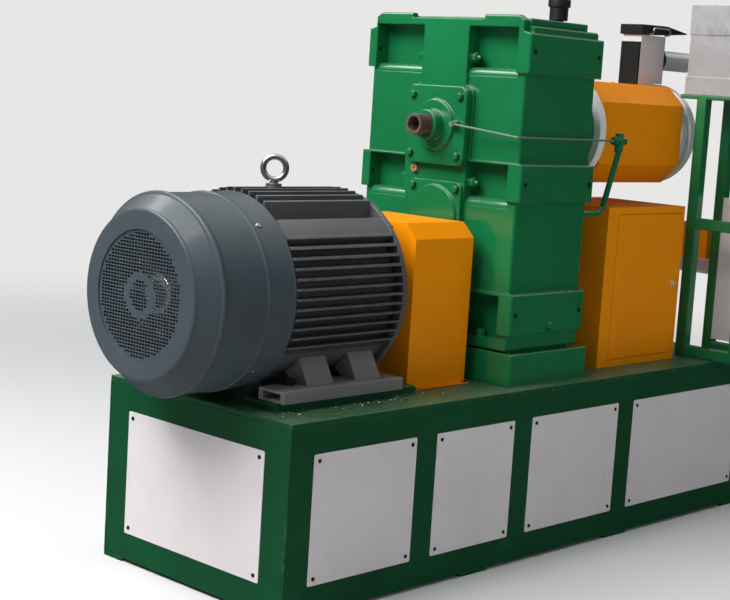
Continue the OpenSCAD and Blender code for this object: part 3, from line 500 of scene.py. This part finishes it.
# The flange takes the lighter white, painted light against the gearbox's shadow.
dress("flange_ring", flange_white_painted_light, 0.003)
dress("barrel", steel, 0.003)
dress("barrel_guard", orange_paint, 0.0012)
dress("outlet_flange", ring_silver, 0.003)
dress("vent_side_plate", black_paint, 0.002)
dress("vent_pipe", bright_pipe, 0.002)
dress("cabinet", orange_paint, 0.0008)
dress("stand_frame", green_paint, 0.003)
dress("stand_panel", white_paint, 0.0008)
dress("feed_hopper", stainless, 0.001)
dress("box_bracket", white_paint, 0.001)
dress("terminal_box", orange_paint, 0.003)

# %% [markdown]
# The cowl is spun from sheet: a flat face, a cone, a rolled bead where the cone meets the drum, and a joint
# ridge halfway along. A turned part is one outline spun round its axis, so the outline is drawn as radius
# and distance along the motor, and the spin operator makes the rest with its ends merged.

# %% Fan cowl
X_AXIS, Y_AXIS, Z_AXIS = Vector((1, 0, 0)), Vector((0, 1, 0)), Vector((0, 0, 1))
MM = 0.001


def on_shaft_line(x):
    return Vector((x, shaft_line.y, shaft_line.z))


def standing(at, along):
    """The matrix that moves a thing to a place and turns its Z along a direction."""
    return Matrix.Translation(at) @ Vector(along).to_track_quat("Z", "Y").to_matrix().to_4x4()


def spun(outline, steps=64, closed=False):
    """A bmesh turned from (radius, height) pairs in millimetres, about Z."""
    bm = bmesh.new()
    verts = [bm.verts.new((r * MM, 0, h * MM)) for r, h in outline]
    pairs = list(zip(verts, verts[1:])) + ([(verts[-1], verts[0])] if closed else [])
    edges = [bm.edges.new(pair) for pair in pairs]
    bmesh.ops.spin(bm, geom=verts + edges, cent=(0, 0, 0), axis=(0, 0, 1), angle=math.tau, steps=steps,
                   use_merge=True, use_duplicate=False)
    bmesh.ops.remove_doubles(bm, verts=bm.verts[:], dist=0.000005)
    bmesh.ops.recalc_face_normals(bm, faces=bm.faces[:])
    return bm


cowl_low, cowl_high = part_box("fan_cowl")
COWL = [(205, 0), (258, 0), (264, 1), (268, 3.5), (270.5, 8), (271.5, 13), (311, 62), (312, 65), (315, 66.5),
        (319, 68), (322, 71.5), (323, 76), (322, 80), (319.5, 83), (318, 86), (317.5, 92), (317.5, 246),
        (319, 249), (321.5, 252), (322, 256), (321.5, 260), (319.8, 264), (319.5, 272), (319.5, 356),
        (321.5, 361), (322, 365), (316, 365), (314.5, 276), (312.5, 240), (312.5, 86), (306, 64), (265, 13),
        (258, 5), (205, 5)]
cowl = spun(COWL, 128, closed=True)
cowl.transform(standing(on_shaft_line(cowl_low.x), X_AXIS))
cowl_piece = finish_piece("fan_cowl_sheet", cowl, "machine", cowl_paint, 30)
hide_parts("fan_cowl")
print("cowl faces:", len(cowl_piece.data.polygons))

# %% [markdown]
# The air comes in through a pressed grille: rows of short level slots with a plain ring round the middle.
# Each cell of a grid is inset, the inner face is squeezed in height and deleted, and Solidify's operator
# gives the sheet its thickness. Hundreds of slots stay cheap, because each is only a dozen faces. A bright
# ring on the fan's hub glints through the slots.

# %% Fan grille
SLOT_PITCH, ROW_PITCH, BAR, SLOT_HEIGHT_SHARE = 0.0142, 0.0106, 0.0021, 0.86
GRILLE_RADIUS, OPEN_RADIUS, RING_IN, RING_OUT = 0.224, 0.201, 0.046, 0.075
GRILLE_THICK, GRILLE_SET_BACK, HUB_RING_AHEAD = 0.0015, 0.0065, 0.008
columns, rows = (2 * round(GRILLE_RADIUS / pitch) + 1 for pitch in (SLOT_PITCH, ROW_PITCH))
grille = bmesh.new()
bmesh.ops.create_grid(grille, x_segments=columns, y_segments=rows, size=0.5)
bmesh.ops.scale(grille, vec=(columns * SLOT_PITCH, rows * ROW_PITCH, 1), verts=grille.verts[:])
outside = [f for f in grille.faces if f.calc_center_median().length > GRILLE_RADIUS]
bmesh.ops.delete(grille, geom=outside, context="FACES")


def is_slot(face):
    reach = max(v.co.length for v in face.verts)
    middle = face.calc_center_median().length
    return reach < OPEN_RADIUS and not RING_IN < middle < RING_OUT


slots = [f for f in grille.faces if is_slot(f)]
bmesh.ops.inset_individual(grille, faces=slots, thickness=BAR, depth=0)
for face in slots:
    spot = face.calc_center_median()
    bmesh.ops.scale(grille, vec=(1, SLOT_HEIGHT_SHARE, 1), space=Matrix.Translation(-spot),
                    verts=face.verts[:])
bmesh.ops.delete(grille, geom=slots, context="FACES")
bmesh.ops.solidify(grille, geom=grille.faces[:], thickness=GRILLE_THICK)
bmesh.ops.recalc_face_normals(grille, faces=grille.faces[:])
grille.transform(Matrix.Translation(on_shaft_line(cowl_low.x + GRILLE_SET_BACK)) @
                 Matrix(((0, 0, 1), (-1, 0, 0), (0, 1, 0))).to_4x4())
grille_piece = finish_piece("fan_grille_sheet", grille, "machine", cowl_paint, 20)
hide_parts("fan_grille")
hub_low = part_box("cooling_fan")[0]
HUB_RING = [(44, 0), (42, 2), (42, 8), (60, 8), (62, 6), (62, 2), (60, 0)]
hub_ring = spun(HUB_RING, 48, closed=True)
hub_ring.transform(standing(on_shaft_line(hub_low.x - HUB_RING_AHEAD), X_AXIS))
finish_piece("fan_hub_ring", hub_ring, "rotor", polished, 40)
print("slots:", len(slots), "faces:", len(grille_piece.data.polygons))

# %% [markdown]
# Screws and bolts are what give a machine its scale. Each kind is modelled once as a small template mesh, a
# hexagon head with a chamfer and a washer or a turned pan head with a round recess, and then stamped
# wherever the real machine has one. Stamping copies the mesh, so the finished piece is one object.

# %% Fastener templates
def template(bm):
    mesh = bpy.data.meshes.new("template")
    bm.to_mesh(mesh)
    bm.free()
    return mesh


def hex_head(across, height, washer=0.0, stub=0.0):
    """A hexagon head, with a washer of a given radius below it and a stub of thread above it."""
    bm = bmesh.new()
    lift = 0.0
    if washer:
        lift = height * 0.18
        bmesh.ops.create_cone(bm, cap_ends=True, segments=20, radius1=washer, radius2=washer, depth=lift,
                              matrix=Matrix.Translation((0, 0, lift / 2)))
    radius = across / math.sqrt(3)
    head = bmesh.ops.create_cone(bm, cap_ends=True, segments=6, radius1=radius, radius2=radius, depth=height,
                                 matrix=Matrix.Translation((0, 0, lift + height / 2)))["verts"]
    top = max(v.co.z for v in head)
    rim = {e for v in head for e in v.link_edges if all(abs(p.co.z - top) < 1e-6 for p in e.verts)}
    bmesh.ops.bevel(bm, geom=list(rim), offset=height * 0.16, offset_type="OFFSET", segments=2, profile=0.5,
                    affect="EDGES", clamp_overlap=True, material=-1)
    if stub:
        bmesh.ops.create_cone(bm, cap_ends=True, segments=16, radius1=across * 0.3, radius2=across * 0.26,
                              depth=stub, matrix=Matrix.Translation((0, 0, top + stub / 2)))
    return template(bm)


def pan_head(radius, height):
    """A turned screw head with a round recess, sizes in millimetres."""
    outline = [(radius, -1.0), (radius, height * 0.35), (radius * 0.86, height * 0.8), (radius * 0.6, height),
               (radius * 0.42, height), (radius * 0.38, height * 0.35), (0, height * 0.3)]
    return template(spun(outline, 14))


def stamped(name, mesh, spots, body, material):
    bm = bmesh.new()
    for at, along in spots:
        start = len(bm.verts)
        bm.from_mesh(mesh)
        bm.verts.ensure_lookup_table()
        bmesh.ops.transform(bm, matrix=standing(at, along), verts=bm.verts[start:])
    piece = finish_piece(name, bm, body, material)
    print(name, len(spots), "pieces,", len(piece.data.polygons), "faces")


# %% [markdown]
# Every white sheet is held by four small black screws near its corners. Their places come from the panels'
# own boxes, and each screw stands on its sheet and points outwards.

# %% Panel screws
def corners(low, high, inset):
    return [(a, b) for a in (low[0] + inset, high[0] - inset) for b in (low[1] + inset, high[1] - inset)]


SCREW_INSET = 0.022
low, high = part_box("end_panels")
spots = [((x, y, z), (s, 0, 0)) for x, s in ((low.x, -1), (high.x, 1))
         for y, z in corners((low.y, low.z), (high.y, high.z), SCREW_INSET)]
PANEL_SPANS = ((0.102, 0.573), (0.675, 1.086), (1.188, 1.716), (1.818, 2.578))
base_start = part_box("base_top")[0].x
for panels, s in (("front_panels", -1), ("rear_panels", 1)):
    low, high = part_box(panels)
    face_y = low.y if s < 0 else high.y
    for start, end in PANEL_SPANS:
        spots += [((x, face_y, z), (0, s, 0)) for x, z in
                  corners((base_start + start, low.z), (base_start + end, high.z), SCREW_INSET)]
stamped("panel_screws", pan_head(7.0, 3.4), spots, "machine", black_paint)

# %% [markdown]
# Bright screws hold the cowl to the motor's frame, and the shield at the drive end is bolted on all round.
# Black bolts hold the feet to the green rails.

# %% Motor fasteners
def ring_spots(x, radius, angles, along=None):
    """Places on a circle round the shaft, each pointing outwards or along a given axis."""
    spots = []
    for a in angles:
        radial = Vector((0, math.cos(math.radians(a)), math.sin(math.radians(a))))
        spots.append((on_shaft_line(x) + radial * radius, along or radial))
    return spots


COWL_SCREW_IN, COWL_SCREW_RADIUS, COWL_SCREW_ANGLES = 0.083, 0.3195, (45, 133, 225, 315)
SHIELD_BOLT_IN, SHIELD_BOLT_RADIUS, SHIELD_BOLT_ANGLES = 0.0195, 0.3, range(0, 360, 45)
screw_spots = ring_spots(cowl_high.x - COWL_SCREW_IN, COWL_SCREW_RADIUS, COWL_SCREW_ANGLES)
stamped("cowl_screws", pan_head(9.0, 5.0), screw_spots, "machine", steel)
shield_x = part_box("drive_end_shield")[0].x + SHIELD_BOLT_IN
shield_spots = ring_spots(shield_x, SHIELD_BOLT_RADIUS, SHIELD_BOLT_ANGLES, along=X_AXIS)
stamped("shield_bolts", hex_head(0.030, 0.014, 0.019), shield_spots, "machine", cast_paint)
low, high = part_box("motor_feet")
FOOT_BOLT_IN, FOOT_BOLT_Y, FOOT_HEIGHT = 0.108, 0.097, 0.040
foot_spots = [((x, y, low.z + FOOT_HEIGHT), Z_AXIS) for x in (low.x + FOOT_BOLT_IN, high.x - FOOT_BOLT_IN)
              for y in (low.y + FOOT_BOLT_Y, high.y - FOOT_BOLT_Y)]
stamped("foot_bolts", hex_head(0.040, 0.018), foot_spots, "machine", black_paint)

# %% [markdown]
# The coupling guard is screwed down through its turned-out lips, and the barrel guard through its top.

# %% Guard screws
LIP, LIP_END, LIP_START, LIP_SIDE = 0.003, 0.014, 0.030, 0.011
low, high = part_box("coupling_guard")
lip_spots = [((x, y, low.z + LIP), Z_AXIS) for x in (low.x + LIP_START, high.x - LIP_END)
             for y in (low.y + LIP_SIDE, high.y - LIP_SIDE)]
stamped("guard_screws", pan_head(7.5, 4.5), lip_spots, "machine", black_paint)
TOP_NEAR, TOP_FAR, UNDER_VENT = -0.04, 0.14, 0.15
low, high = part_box("barrel_guard")
top_spots = [((x, y, high.z), Z_AXIS) for x in (low.x + 0.03, low.x + 0.20, high.x - 0.03)
             for y in (TOP_NEAR, TOP_FAR) if x < high.x - UNDER_VENT or y == TOP_FAR]
stamped("barrel_guard_screws", pan_head(8.0, 4.5), top_spots, "machine", orange_paint)

# %% [markdown]
# The gearbox is held together by long bolts through its lugs. On the outer faces their holes are flat black
# discs, painted shade for the dark insides of the holes; in the pockets their ends are hexagon nuts, and each
# bearing cover has four painted bolts. The pockets' floors end in a rounded sill, as the foundry's pattern
# needs; each sill is one outline drawn out along Y.

# %% Gearbox bolts
def prism(bm, outline, near, far):
    """A closed bar: an outline of (x, z) points drawn out from near to far along Y."""
    face = bm.faces.new([bm.verts.new((x, near, z)) for x, z in outline])
    pulled = bmesh.ops.extrude_face_region(bm, geom=[face])["geom"]
    moved = [v for v in pulled if isinstance(v, bmesh.types.BMVert)]
    bmesh.ops.translate(bm, vec=(0, far - near, 0), verts=moved)
    bmesh.ops.recalc_face_normals(bm, faces=bm.faces[:])


low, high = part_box("gearbox_housing")
gear_mid_y = (low.y + high.y) / 2
gear_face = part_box("upper_bearing_cover")[1].x
gear_back = high.x
LUG_REACH, LUG_LEVELS = 0.388, (0.888, 1.351, 1.813)
HOLE_IN, LEFT_HOLE_IN, NUT_IN, BLOCK_BOLT_IN = 0.028, 0.020, 0.031, 0.033
near, far = gear_mid_y - LUG_REACH, gear_mid_y + LUG_REACH
hole_spots = [((x, y, z), (0, s, 0)) for y, s in ((near, -1), (far, 1)) for z in LUG_LEVELS
              for x in (gear_face + HOLE_IN, gear_back - HOLE_IN)]
LEFT_WALLS = ((1.804, 0.345), (1.345, 0.343))
hole_spots += [((gear_face + LEFT_HOLE_IN, gear_mid_y + y, z), -Y_AXIS) for z, y in LEFT_WALLS]
# Flat black discs on the lugs' outer faces: painted shade in place of the bolt holes.
stamped("lug_hole_shade_discs", pan_head(9.5, 1.2), hole_spots, "machine", black_paint)
nut = hex_head(0.034, 0.022, 0.024, 0.014)
POCKET_WALLS = ((1.785, -0.105, 0.110), (1.340, -0.133, 0.163), (0.885, -0.133, 0.163))
nut_spots = []
for z, right, left in POCKET_WALLS:
    for x in (gear_face + NUT_IN, gear_back - NUT_IN):
        nut_spots += [((x, gear_mid_y + right, z), -Y_AXIS), ((x, gear_mid_y + left, z), Y_AXIS)]
stamped("lug_nuts", nut, nut_spots, "machine", green_paint)
cover_bolt = hex_head(0.024, 0.011, 0.016)
upper, middle = centre("upper_bearing_cover"), centre("middle_bearing_cover")
UPPER_COVER_OUT, MIDDLE_COVER_OUT, BOLT_UP = 0.032, 0.012, 0.106
upper_face, middle_face = gear_face - UPPER_COVER_OUT, gear_face - MIDDLE_COVER_OUT
cover_spots = [((face_x, at.y + side_y * reach, at.z + side_z * BOLT_UP), -X_AXIS)
               for face_x, at, reach in ((upper_face, upper, 0.112), (middle_face, middle, 0.104))
               for side_y in (-1, 1) for side_z in (-1, 1)]
stamped("cover_bolts", cover_bolt, cover_spots, "machine", green_paint)
floor_bolt = hex_head(0.034, 0.022, 0.026)
POCKET_FLOOR = 0.795
block_spots = [((x, gear_mid_y + dy, POCKET_FLOOR), Z_AXIS)
               for x in (gear_face + BLOCK_BOLT_IN, gear_back - BLOCK_BOLT_IN) for dy in (-0.229, 0.25)]
stamped("foot_block_bolts", floor_bolt, block_spots, "machine", green_paint)
SILL = [(0, -1), (0, 2), (0.4, 5), (1.8, 10), (4.3, 15), (7.8, 19.5), (12.5, 23.6), (18, 26.4), (24, 28),
        (50, 29), (50, -1)]
SILL_LEVELS = ((1.263, (-0.326, -0.133), (0.163, 0.343)), (1.723, (-0.330, -0.105), (0.110, 0.345)))
SILL_IN, SILL_LAP = 0.0105, 0.001
sills = bmesh.new()
for floor_z, near_span, far_span in SILL_LEVELS:
    for edge_x, inward in ((gear_face + SILL_IN, 1), (gear_back - SILL_IN, -1)):
        outline = [(edge_x + inward * x * MM, floor_z + z * MM) for x, z in SILL]
        for y0, y1 in (near_span, far_span):
            prism(sills, outline, gear_mid_y + y0 - SILL_LAP, gear_mid_y + y1 + SILL_LAP)
finish_piece("pocket_sills", sills, "machine", green_paint)
stamped("drain_plug", hex_head(0.030, 0.014, 0.026), [((gear_face + 0.227, near, 0.841), -Y_AXIS)], "machine",
        green_paint)

# %% [markdown]
# The thin oil pipe ends in a banjo fitting on the bearing cover and in the elbow by the flange. Hexagon
# nuts at the joints are what a fitter would look for.

# %% Oil fittings
PIPE_BELOW, FITTING_OUT, FITTING_ASIDE, FITTING_UP = 0.018, 0.002, 0.104, 0.008
elbow = centre("oil_elbow")
elbow_low, elbow_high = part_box("oil_elbow")
pipe_top = elbow_high.z - PIPE_BELOW
fitting = ((upper_face - FITTING_OUT, gear_mid_y - FITTING_ASIDE, upper.z + FITTING_UP), -X_AXIS)
stamped("banjo_fitting", hex_head(0.024, 0.018, 0.017, 0.010), [fitting], "machine", green_paint)
nut_places = [((elbow_low.x - 0.016, elbow.y, pipe_top), X_AXIS),
              ((elbow_high.x - 0.004, elbow.y, pipe_top), X_AXIS),
              ((elbow.x, elbow.y, elbow_low.z - 0.008), Z_AXIS),
              ((elbow.x, elbow.y, pipe_top + 0.012), Z_AXIS)]
stamped("elbow_nuts", hex_head(0.030, 0.018), nut_places, "machine", green_paint)
plug_low, plug_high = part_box("level_plug")
plug = centre("level_plug")
plug_radius = (plug_high.z - plug_low.z) / 2 / MM
plug_length = (plug_high.x - plug_low.x) / MM
PLUG = [(plug_radius - 1, 0), (plug_radius, 1), (plug_radius, plug_length - 2),
        (plug_radius - 2, plug_length), (plug_radius * 0.55, plug_length),
        (plug_radius * 0.5, plug_length - 1), (plug_radius * 0.5, 1.5), (0, 1.2)]
level_plug = spun(PLUG, 32)
level_plug.transform(standing((plug_high.x, plug.y, plug.z), -X_AXIS))
plug_piece = finish_piece("level_plug_ring", level_plug, "machine", brass, 35)
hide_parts("level_plug")

# %% [markdown]
# The vent's lid is a thin black wedge with a bent rod to lift it by. The wedge is one outline drawn out
# along Y, a little thinner than the CAD lid, so the chamber's top rim is raised to meet it. The rod is a tube
# on a path whose corners are rounded by short curves. The same tube helper lays the weld beads later, with a
# radius that wanders. A black ring sits round the vent pipe where it leaves the chamber.

# %% Lid and tubes
def rounded(points, reach, steps=5):
    """The path with each corner replaced by a short curve that starts and ends reach away from it."""
    points = [Vector(p) for p in points]
    path = [points[0]]
    for before, corner, after in zip(points, points[1:], points[2:]):
        start = corner + (before - corner).normalized() * reach
        end = corner + (after - corner).normalized() * reach
        for i in range(steps + 1):
            t = i / steps
            path.append(start.lerp(corner, t).lerp(corner.lerp(end, t), t))
    return path + [points[-1]]


def tube(bm, path, radius, wander=0.0, sides=1):
    curve = bpy.data.curves.new("tube", "CURVE")
    curve.dimensions = "3D"
    curve.bevel_depth = radius
    curve.bevel_resolution = sides
    curve.use_fill_caps = True
    line = curve.splines.new("POLY")
    line.points.add(len(path) - 1)
    for point, at in zip(line.points, path):
        point.co = (*at, 1)
        point.radius = 1.0 + wander * (random.random() - 0.5)
    holder = bpy.data.objects.new("tube", curve)
    made = bpy.data.meshes.new_from_object(holder)
    bm.from_mesh(made)
    bpy.data.objects.remove(holder)
    bpy.data.meshes.remove(made)


lid_low, lid_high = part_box("vent_lid")
LID_WIDTH, LID_RAISE, LID_DRAW, SAME_LEVEL = 0.110, 0.011, 0.008, 0.0005
GRIP_IN, GRIP_LENGTH, GRIP_OUT, GRIP_UP, GRIP_DROP = 0.062, 0.120, 0.020, 0.040, 0.024
GRIP_SINK, GRIP_CORNER, GRIP_RADIUS = 0.006, 0.010, 0.0036
lid_near = lid_high.y - LID_WIDTH
chamber = merged_copy("vent_chamber")
chamber_top = max(v.co.z for v in chamber.verts)
top_rim = [v for v in chamber.verts if v.co.z > chamber_top - SAME_LEVEL]
bmesh.ops.translate(chamber, vec=(0, 0, LID_RAISE), verts=top_rim)
round_edges(chamber, 0.002)
chamber_piece = finish_piece("vent_chamber_box", chamber, "machine", white_paint)
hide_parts("vent_chamber")
lid = bmesh.new()
wedge = [(lid_low.x + LID_DRAW, lid_low.z + LID_RAISE), (lid_high.x - 0.20, lid_low.z + LID_RAISE + 0.004),
         (lid_high.x, lid_low.z + 0.030), (lid_high.x, lid_low.z + 0.035),
         (lid_low.x + 0.19, lid_high.z - 0.001), (lid_low.x + LID_DRAW, lid_high.z - 0.004)]
prism(lid, wedge, lid_near, lid_near + LID_WIDTH)
round_edges(lid, 0.002)
lid_piece = finish_piece("vent_lid_wedge", lid, "machine", black_paint)
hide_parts("vent_lid")
grip_x, grip_y, grip_z = lid_low.x + GRIP_IN, lid_near - GRIP_OUT, lid_low.z + GRIP_UP
foot_z, grip_end = grip_z - GRIP_DROP, grip_x + GRIP_LENGTH
grip_points = [(grip_x, lid_near + GRIP_SINK, foot_z), (grip_x, grip_y, foot_z), (grip_x, grip_y, grip_z),
               (grip_end, grip_y, grip_z), (grip_end, grip_y, foot_z), (grip_end, lid_near + GRIP_SINK, foot_z)]
grip = bmesh.new()
tube(grip, rounded(grip_points, GRIP_CORNER), GRIP_RADIUS, sides=3)
finish_piece("vent_lid_grip", grip, "machine", steel, 60)
vent_pipe_at = centre("vent_pipe")
PIPE_RING = [(40, 0), (53, 0), (54, 1), (54, 8), (53, 9), (40, 9)]
pipe_ring = spun(PIPE_RING, 40, closed=True)
pipe_ring.transform(standing((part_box("vent_chamber")[1].x - 0.001, vent_pipe_at.y, vent_pipe_at.z), X_AXIS))
finish_piece("vent_pipe_black_ring", pipe_ring, "machine", black_paint)
print("lid and grip done")

# %% [markdown]
# On the real cabinet the door is a flush leaf and its gap is a hairline. The CAD keeps a wide running gap, so
# the dressed leaf is drawn out towards the opening on its free sides, and a thin flange covers the gap over
# the hinge pins. The flange stays inside the circle that the opening leaves free, so the door still swings.

# %% Cabinet door
door_low, door_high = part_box("cabinet_door")
DOOR_GROW, FLANGE, FLANGE_T, HINGE_TO_EDGE = 0.0062, 0.0060, 0.0018, 0.007
door = merged_copy("cabinet_door")
for free_side, axis, limit in ((1, 0, door_high.x), (1, 2, door_high.z), (-1, 2, door_low.z)):
    rim = [v for v in door.verts if abs(v.co[axis] - limit) < SAME_LEVEL]
    step = Vector((0, 0, 0))
    step[axis] = free_side * DOOR_GROW
    bmesh.ops.translate(door, vec=step, verts=rim)
door_sheet_y = door_low.y + FLANGE_T / 2
flange_x0, flange_x1 = door_low.x - FLANGE, door_low.x + HINGE_TO_EDGE
bmesh.ops.create_cube(door, size=1.0, matrix=Matrix.Translation((
    (flange_x0 + flange_x1) / 2, door_sheet_y, (door_low.z + door_high.z) / 2)) @ Matrix.Diagonal((
        flange_x1 - flange_x0, FLANGE_T, door_high.z - door_low.z + 2 * DOOR_GROW, 1)))
round_edges(door, 0.0008, 2, 50)
door_piece = finish_piece("cabinet_door_leaf", door, "door", orange_paint)
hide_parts("cabinet_door")
lock_at, lock_back = centre("door_lock"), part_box("door_lock")[1].y
LOCK = [(0, 0), (12.5, 0), (13, 1), (13, 2.5), (11, 4), (8, 4.2), (7.6, 10.5), (6.6, 12), (0, 12)]
lock = spun(LOCK, 32)
lock.transform(standing((lock_at.x, lock_back, lock_at.z), -Y_AXIS))
lock_piece = finish_piece("door_lock_barrel", lock, BODY_OF["door_lock"], polished)
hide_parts("door_lock")
print("door leaf:", [round(v, 3) for v in door_low], [round(v, 3) for v in door_high])

# %% [markdown]
# Weld beads tie the foot block, the rails and the guard to the base. A bead is a tube that follows a line,
# with a radius that changes a little every few millimetres as the welder's hand did. The random numbers are
# seeded, so each run gives the same bead. Small drops of spatter lie beside the near rail.

# %% Weld beads
def bead(bm, points, radius, step=0.012):
    path = []
    for a, b in zip(points, points[1:]):
        a, b = Vector(a), Vector(b)
        count = max(1, round((b - a).length / step))
        path += [a.lerp(b, i / count) for i in range(count)]
    tube(bm, path + [Vector(points[-1])], radius, 0.5)


def around(low, high, z):
    return [(low.x, low.y, z), (high.x, low.y, z), (high.x, high.y, z), (low.x, high.y, z), (low.x, low.y, z)]


random.seed(315)
welds = bmesh.new()
base_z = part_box("base_top")[1].z
bead(welds, around(*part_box("gearbox_foot"), base_z), 0.0045)
RAIL_WIDTH = 0.150
rails_low, rails_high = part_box("motor_rails")
for start_y in (rails_low.y, rails_high.y - RAIL_WIDTH):
    rail_low, rail_high = Vector((rails_low.x, start_y, 0)), Vector((rails_high.x, start_y + RAIL_WIDTH, 0))
    bead(welds, around(rail_low, rail_high, base_z), 0.003)
guard_low, guard_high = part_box("coupling_guard")
bead(welds, [(guard_low.x, guard_low.y, base_z), (guard_high.x, guard_low.y, base_z)], 0.002)
weld_piece = finish_piece("weld_beads", welds, "machine", base_green_painted_shade, 60)
spatter = bmesh.new()
SPATTERS = 28
for _ in range(SPATTERS):
    at = (random.uniform(rails_low.x - 0.03, rails_high.x + 0.10),
          rails_low.y - abs(random.gauss(0.0, 0.035)) - 0.004, base_z + 0.0005)
    bmesh.ops.create_icosphere(spatter, subdivisions=1, radius=random.uniform(0.0012, 0.0034),
                               matrix=Matrix.Translation(at) @ Matrix.Diagonal((1.4, 1.0, 0.6, 1)))
finish_piece("weld_spatter", spatter, "machine", ring_silver, 60)
print("weld bead faces:", len(weld_piece.data.polygons))

# %% [markdown]
# The floor is one large pale sheet that keeps the machine's shadow. Far from the machine it fades into the
# same pale tone that the camera sees in the world, so no horizon cuts the picture. The lamps never make that
# tone: it comes from the Is Camera Ray trick alone.

# %% Floor and world
PALE = (0.80, 0.80, 0.79, 1.0)
HALL_DARK, HALL_BRIGHT = 0.06, 0.9

floor_mesh = bmesh.new()
bmesh.ops.create_grid(floor_mesh, x_segments=8, y_segments=8, size=30.0)
mesh = bpy.data.meshes.new("floor")
floor_mesh.to_mesh(mesh)
floor_mesh.free()
floor = bpy.data.objects.new("floor", mesh)
bpy.context.scene.collection.objects.link(floor)

floor_material = bpy.data.materials.new("pale floor")
floor_material.use_nodes = True
tree = floor_material.node_tree
tree.nodes.clear()
place = node(tree, "TexCoord").outputs["Object"]
away = node(tree, "VectorMath", {0: place}, operation="LENGTH").outputs["Value"]
matt_floor = node(tree, "BsdfPrincipled", {"Base Color": (0.64, 0.64, 0.63, 1), "Roughness": 0.75})
mirrored_floor = node(tree, "BsdfDiffuse", {"Color": (0.07, 0.065, 0.06, 1)})
far_floor = node(tree, "Emission", {"Color": PALE, "Strength": 1.0})
looked_at = node(tree, "LightPath").outputs
straight = maths(tree, "MAXIMUM", looked_at["Is Camera Ray"], looked_at["Is Transmission Ray"])
fade = maths(tree, "MULTIPLY", spread(tree, away, 2.2, 8.0), straight)
near_floor = node(tree, "MixShader", {0: looked_at["Is Glossy Ray"], 1: matt_floor.outputs[0],
                                      2: mirrored_floor.outputs[0]})
blended = node(tree, "MixShader", {0: fade, 1: near_floor.outputs[0], 2: far_floor.outputs[0]})
node(tree, "OutputMaterial", {"Surface": blended.outputs[0]})
floor.data.materials.append(floor_material)

world = bpy.data.worlds.new("studio")
bpy.context.scene.world = world
world.use_nodes = True
tree = world.node_tree
tree.nodes.clear()
seen = node(tree, "LightPath").outputs
backdrop = node(tree, "Background", {"Color": PALE, "Strength": 1.0})
ambient = node(tree, "Background", {"Color": (0.88, 0.93, 1.0, 1), "Strength": 0.30})
downward = node(tree, "SeparateXYZ", {0: node(tree, "NewGeometry").outputs["Incoming"]}).outputs[2]
hall = node(tree, "Background", {"Color": (0.90, 0.95, 1.0, 1),
                                 "Strength": spread(tree, downward, -0.30, -0.70, HALL_DARK, HALL_BRIGHT)})
around_us = node(tree, "MixShader", {0: seen["Is Glossy Ray"], 1: ambient.outputs[0], 2: hall.outputs[0]})
shown = maths(tree, "MAXIMUM", seen["Is Camera Ray"], seen["Is Transmission Ray"])
sky = node(tree, "MixShader", {0: shown, 1: around_us.outputs[0], 2: backdrop.outputs[0]})
node(tree, "OutputWorld", {"Surface": sky.outputs[0]})
print("stage ready")

# %% [markdown]
# Daylight reaches the real machine from tall windows on the motor's side and from the roof: the ends that
# face the motor side are bright and the long front is in half shade. Soft area lamps do the same. The fill
# only lifts the shade: glossy rays don't see it, so no rounded corner mirrors a lamp that isn't there.

# %% Lamps
def area_lamp(name, place, target, size, watts, colour=(1, 1, 1)):
    data = bpy.data.lights.new(name, "AREA")
    data.shape = "RECTANGLE"
    data.size, data.size_y = size
    data.energy = watts
    data.color = colour
    lamp = bpy.data.objects.new(name, data)
    bpy.context.scene.collection.objects.link(lamp)
    lamp.matrix_world = Matrix.Translation(place) @ (
        Vector(target) - Vector(place)).to_track_quat("-Z", "Y").to_matrix().to_4x4()
    return lamp


area_lamp("window", (-4.4, 0.9, 5.6), (0, 0, 1.4), (4.6, 3.0), 540)
area_lamp("roof", (0.6, 0.9, 5.4), (0, 0, 1.0), (4.5, 2.0), 10)
area_lamp("skylight", (-2.4, 3.65, 5.9), (-0.1, -0.2, 1.5), (4.4, 1.2), 160)
fill = area_lamp("fill", (1.0, -6.5, 1.6), (0, 0, 0.6), (4.0, 2.0), 30)
fill.visible_glossy = False
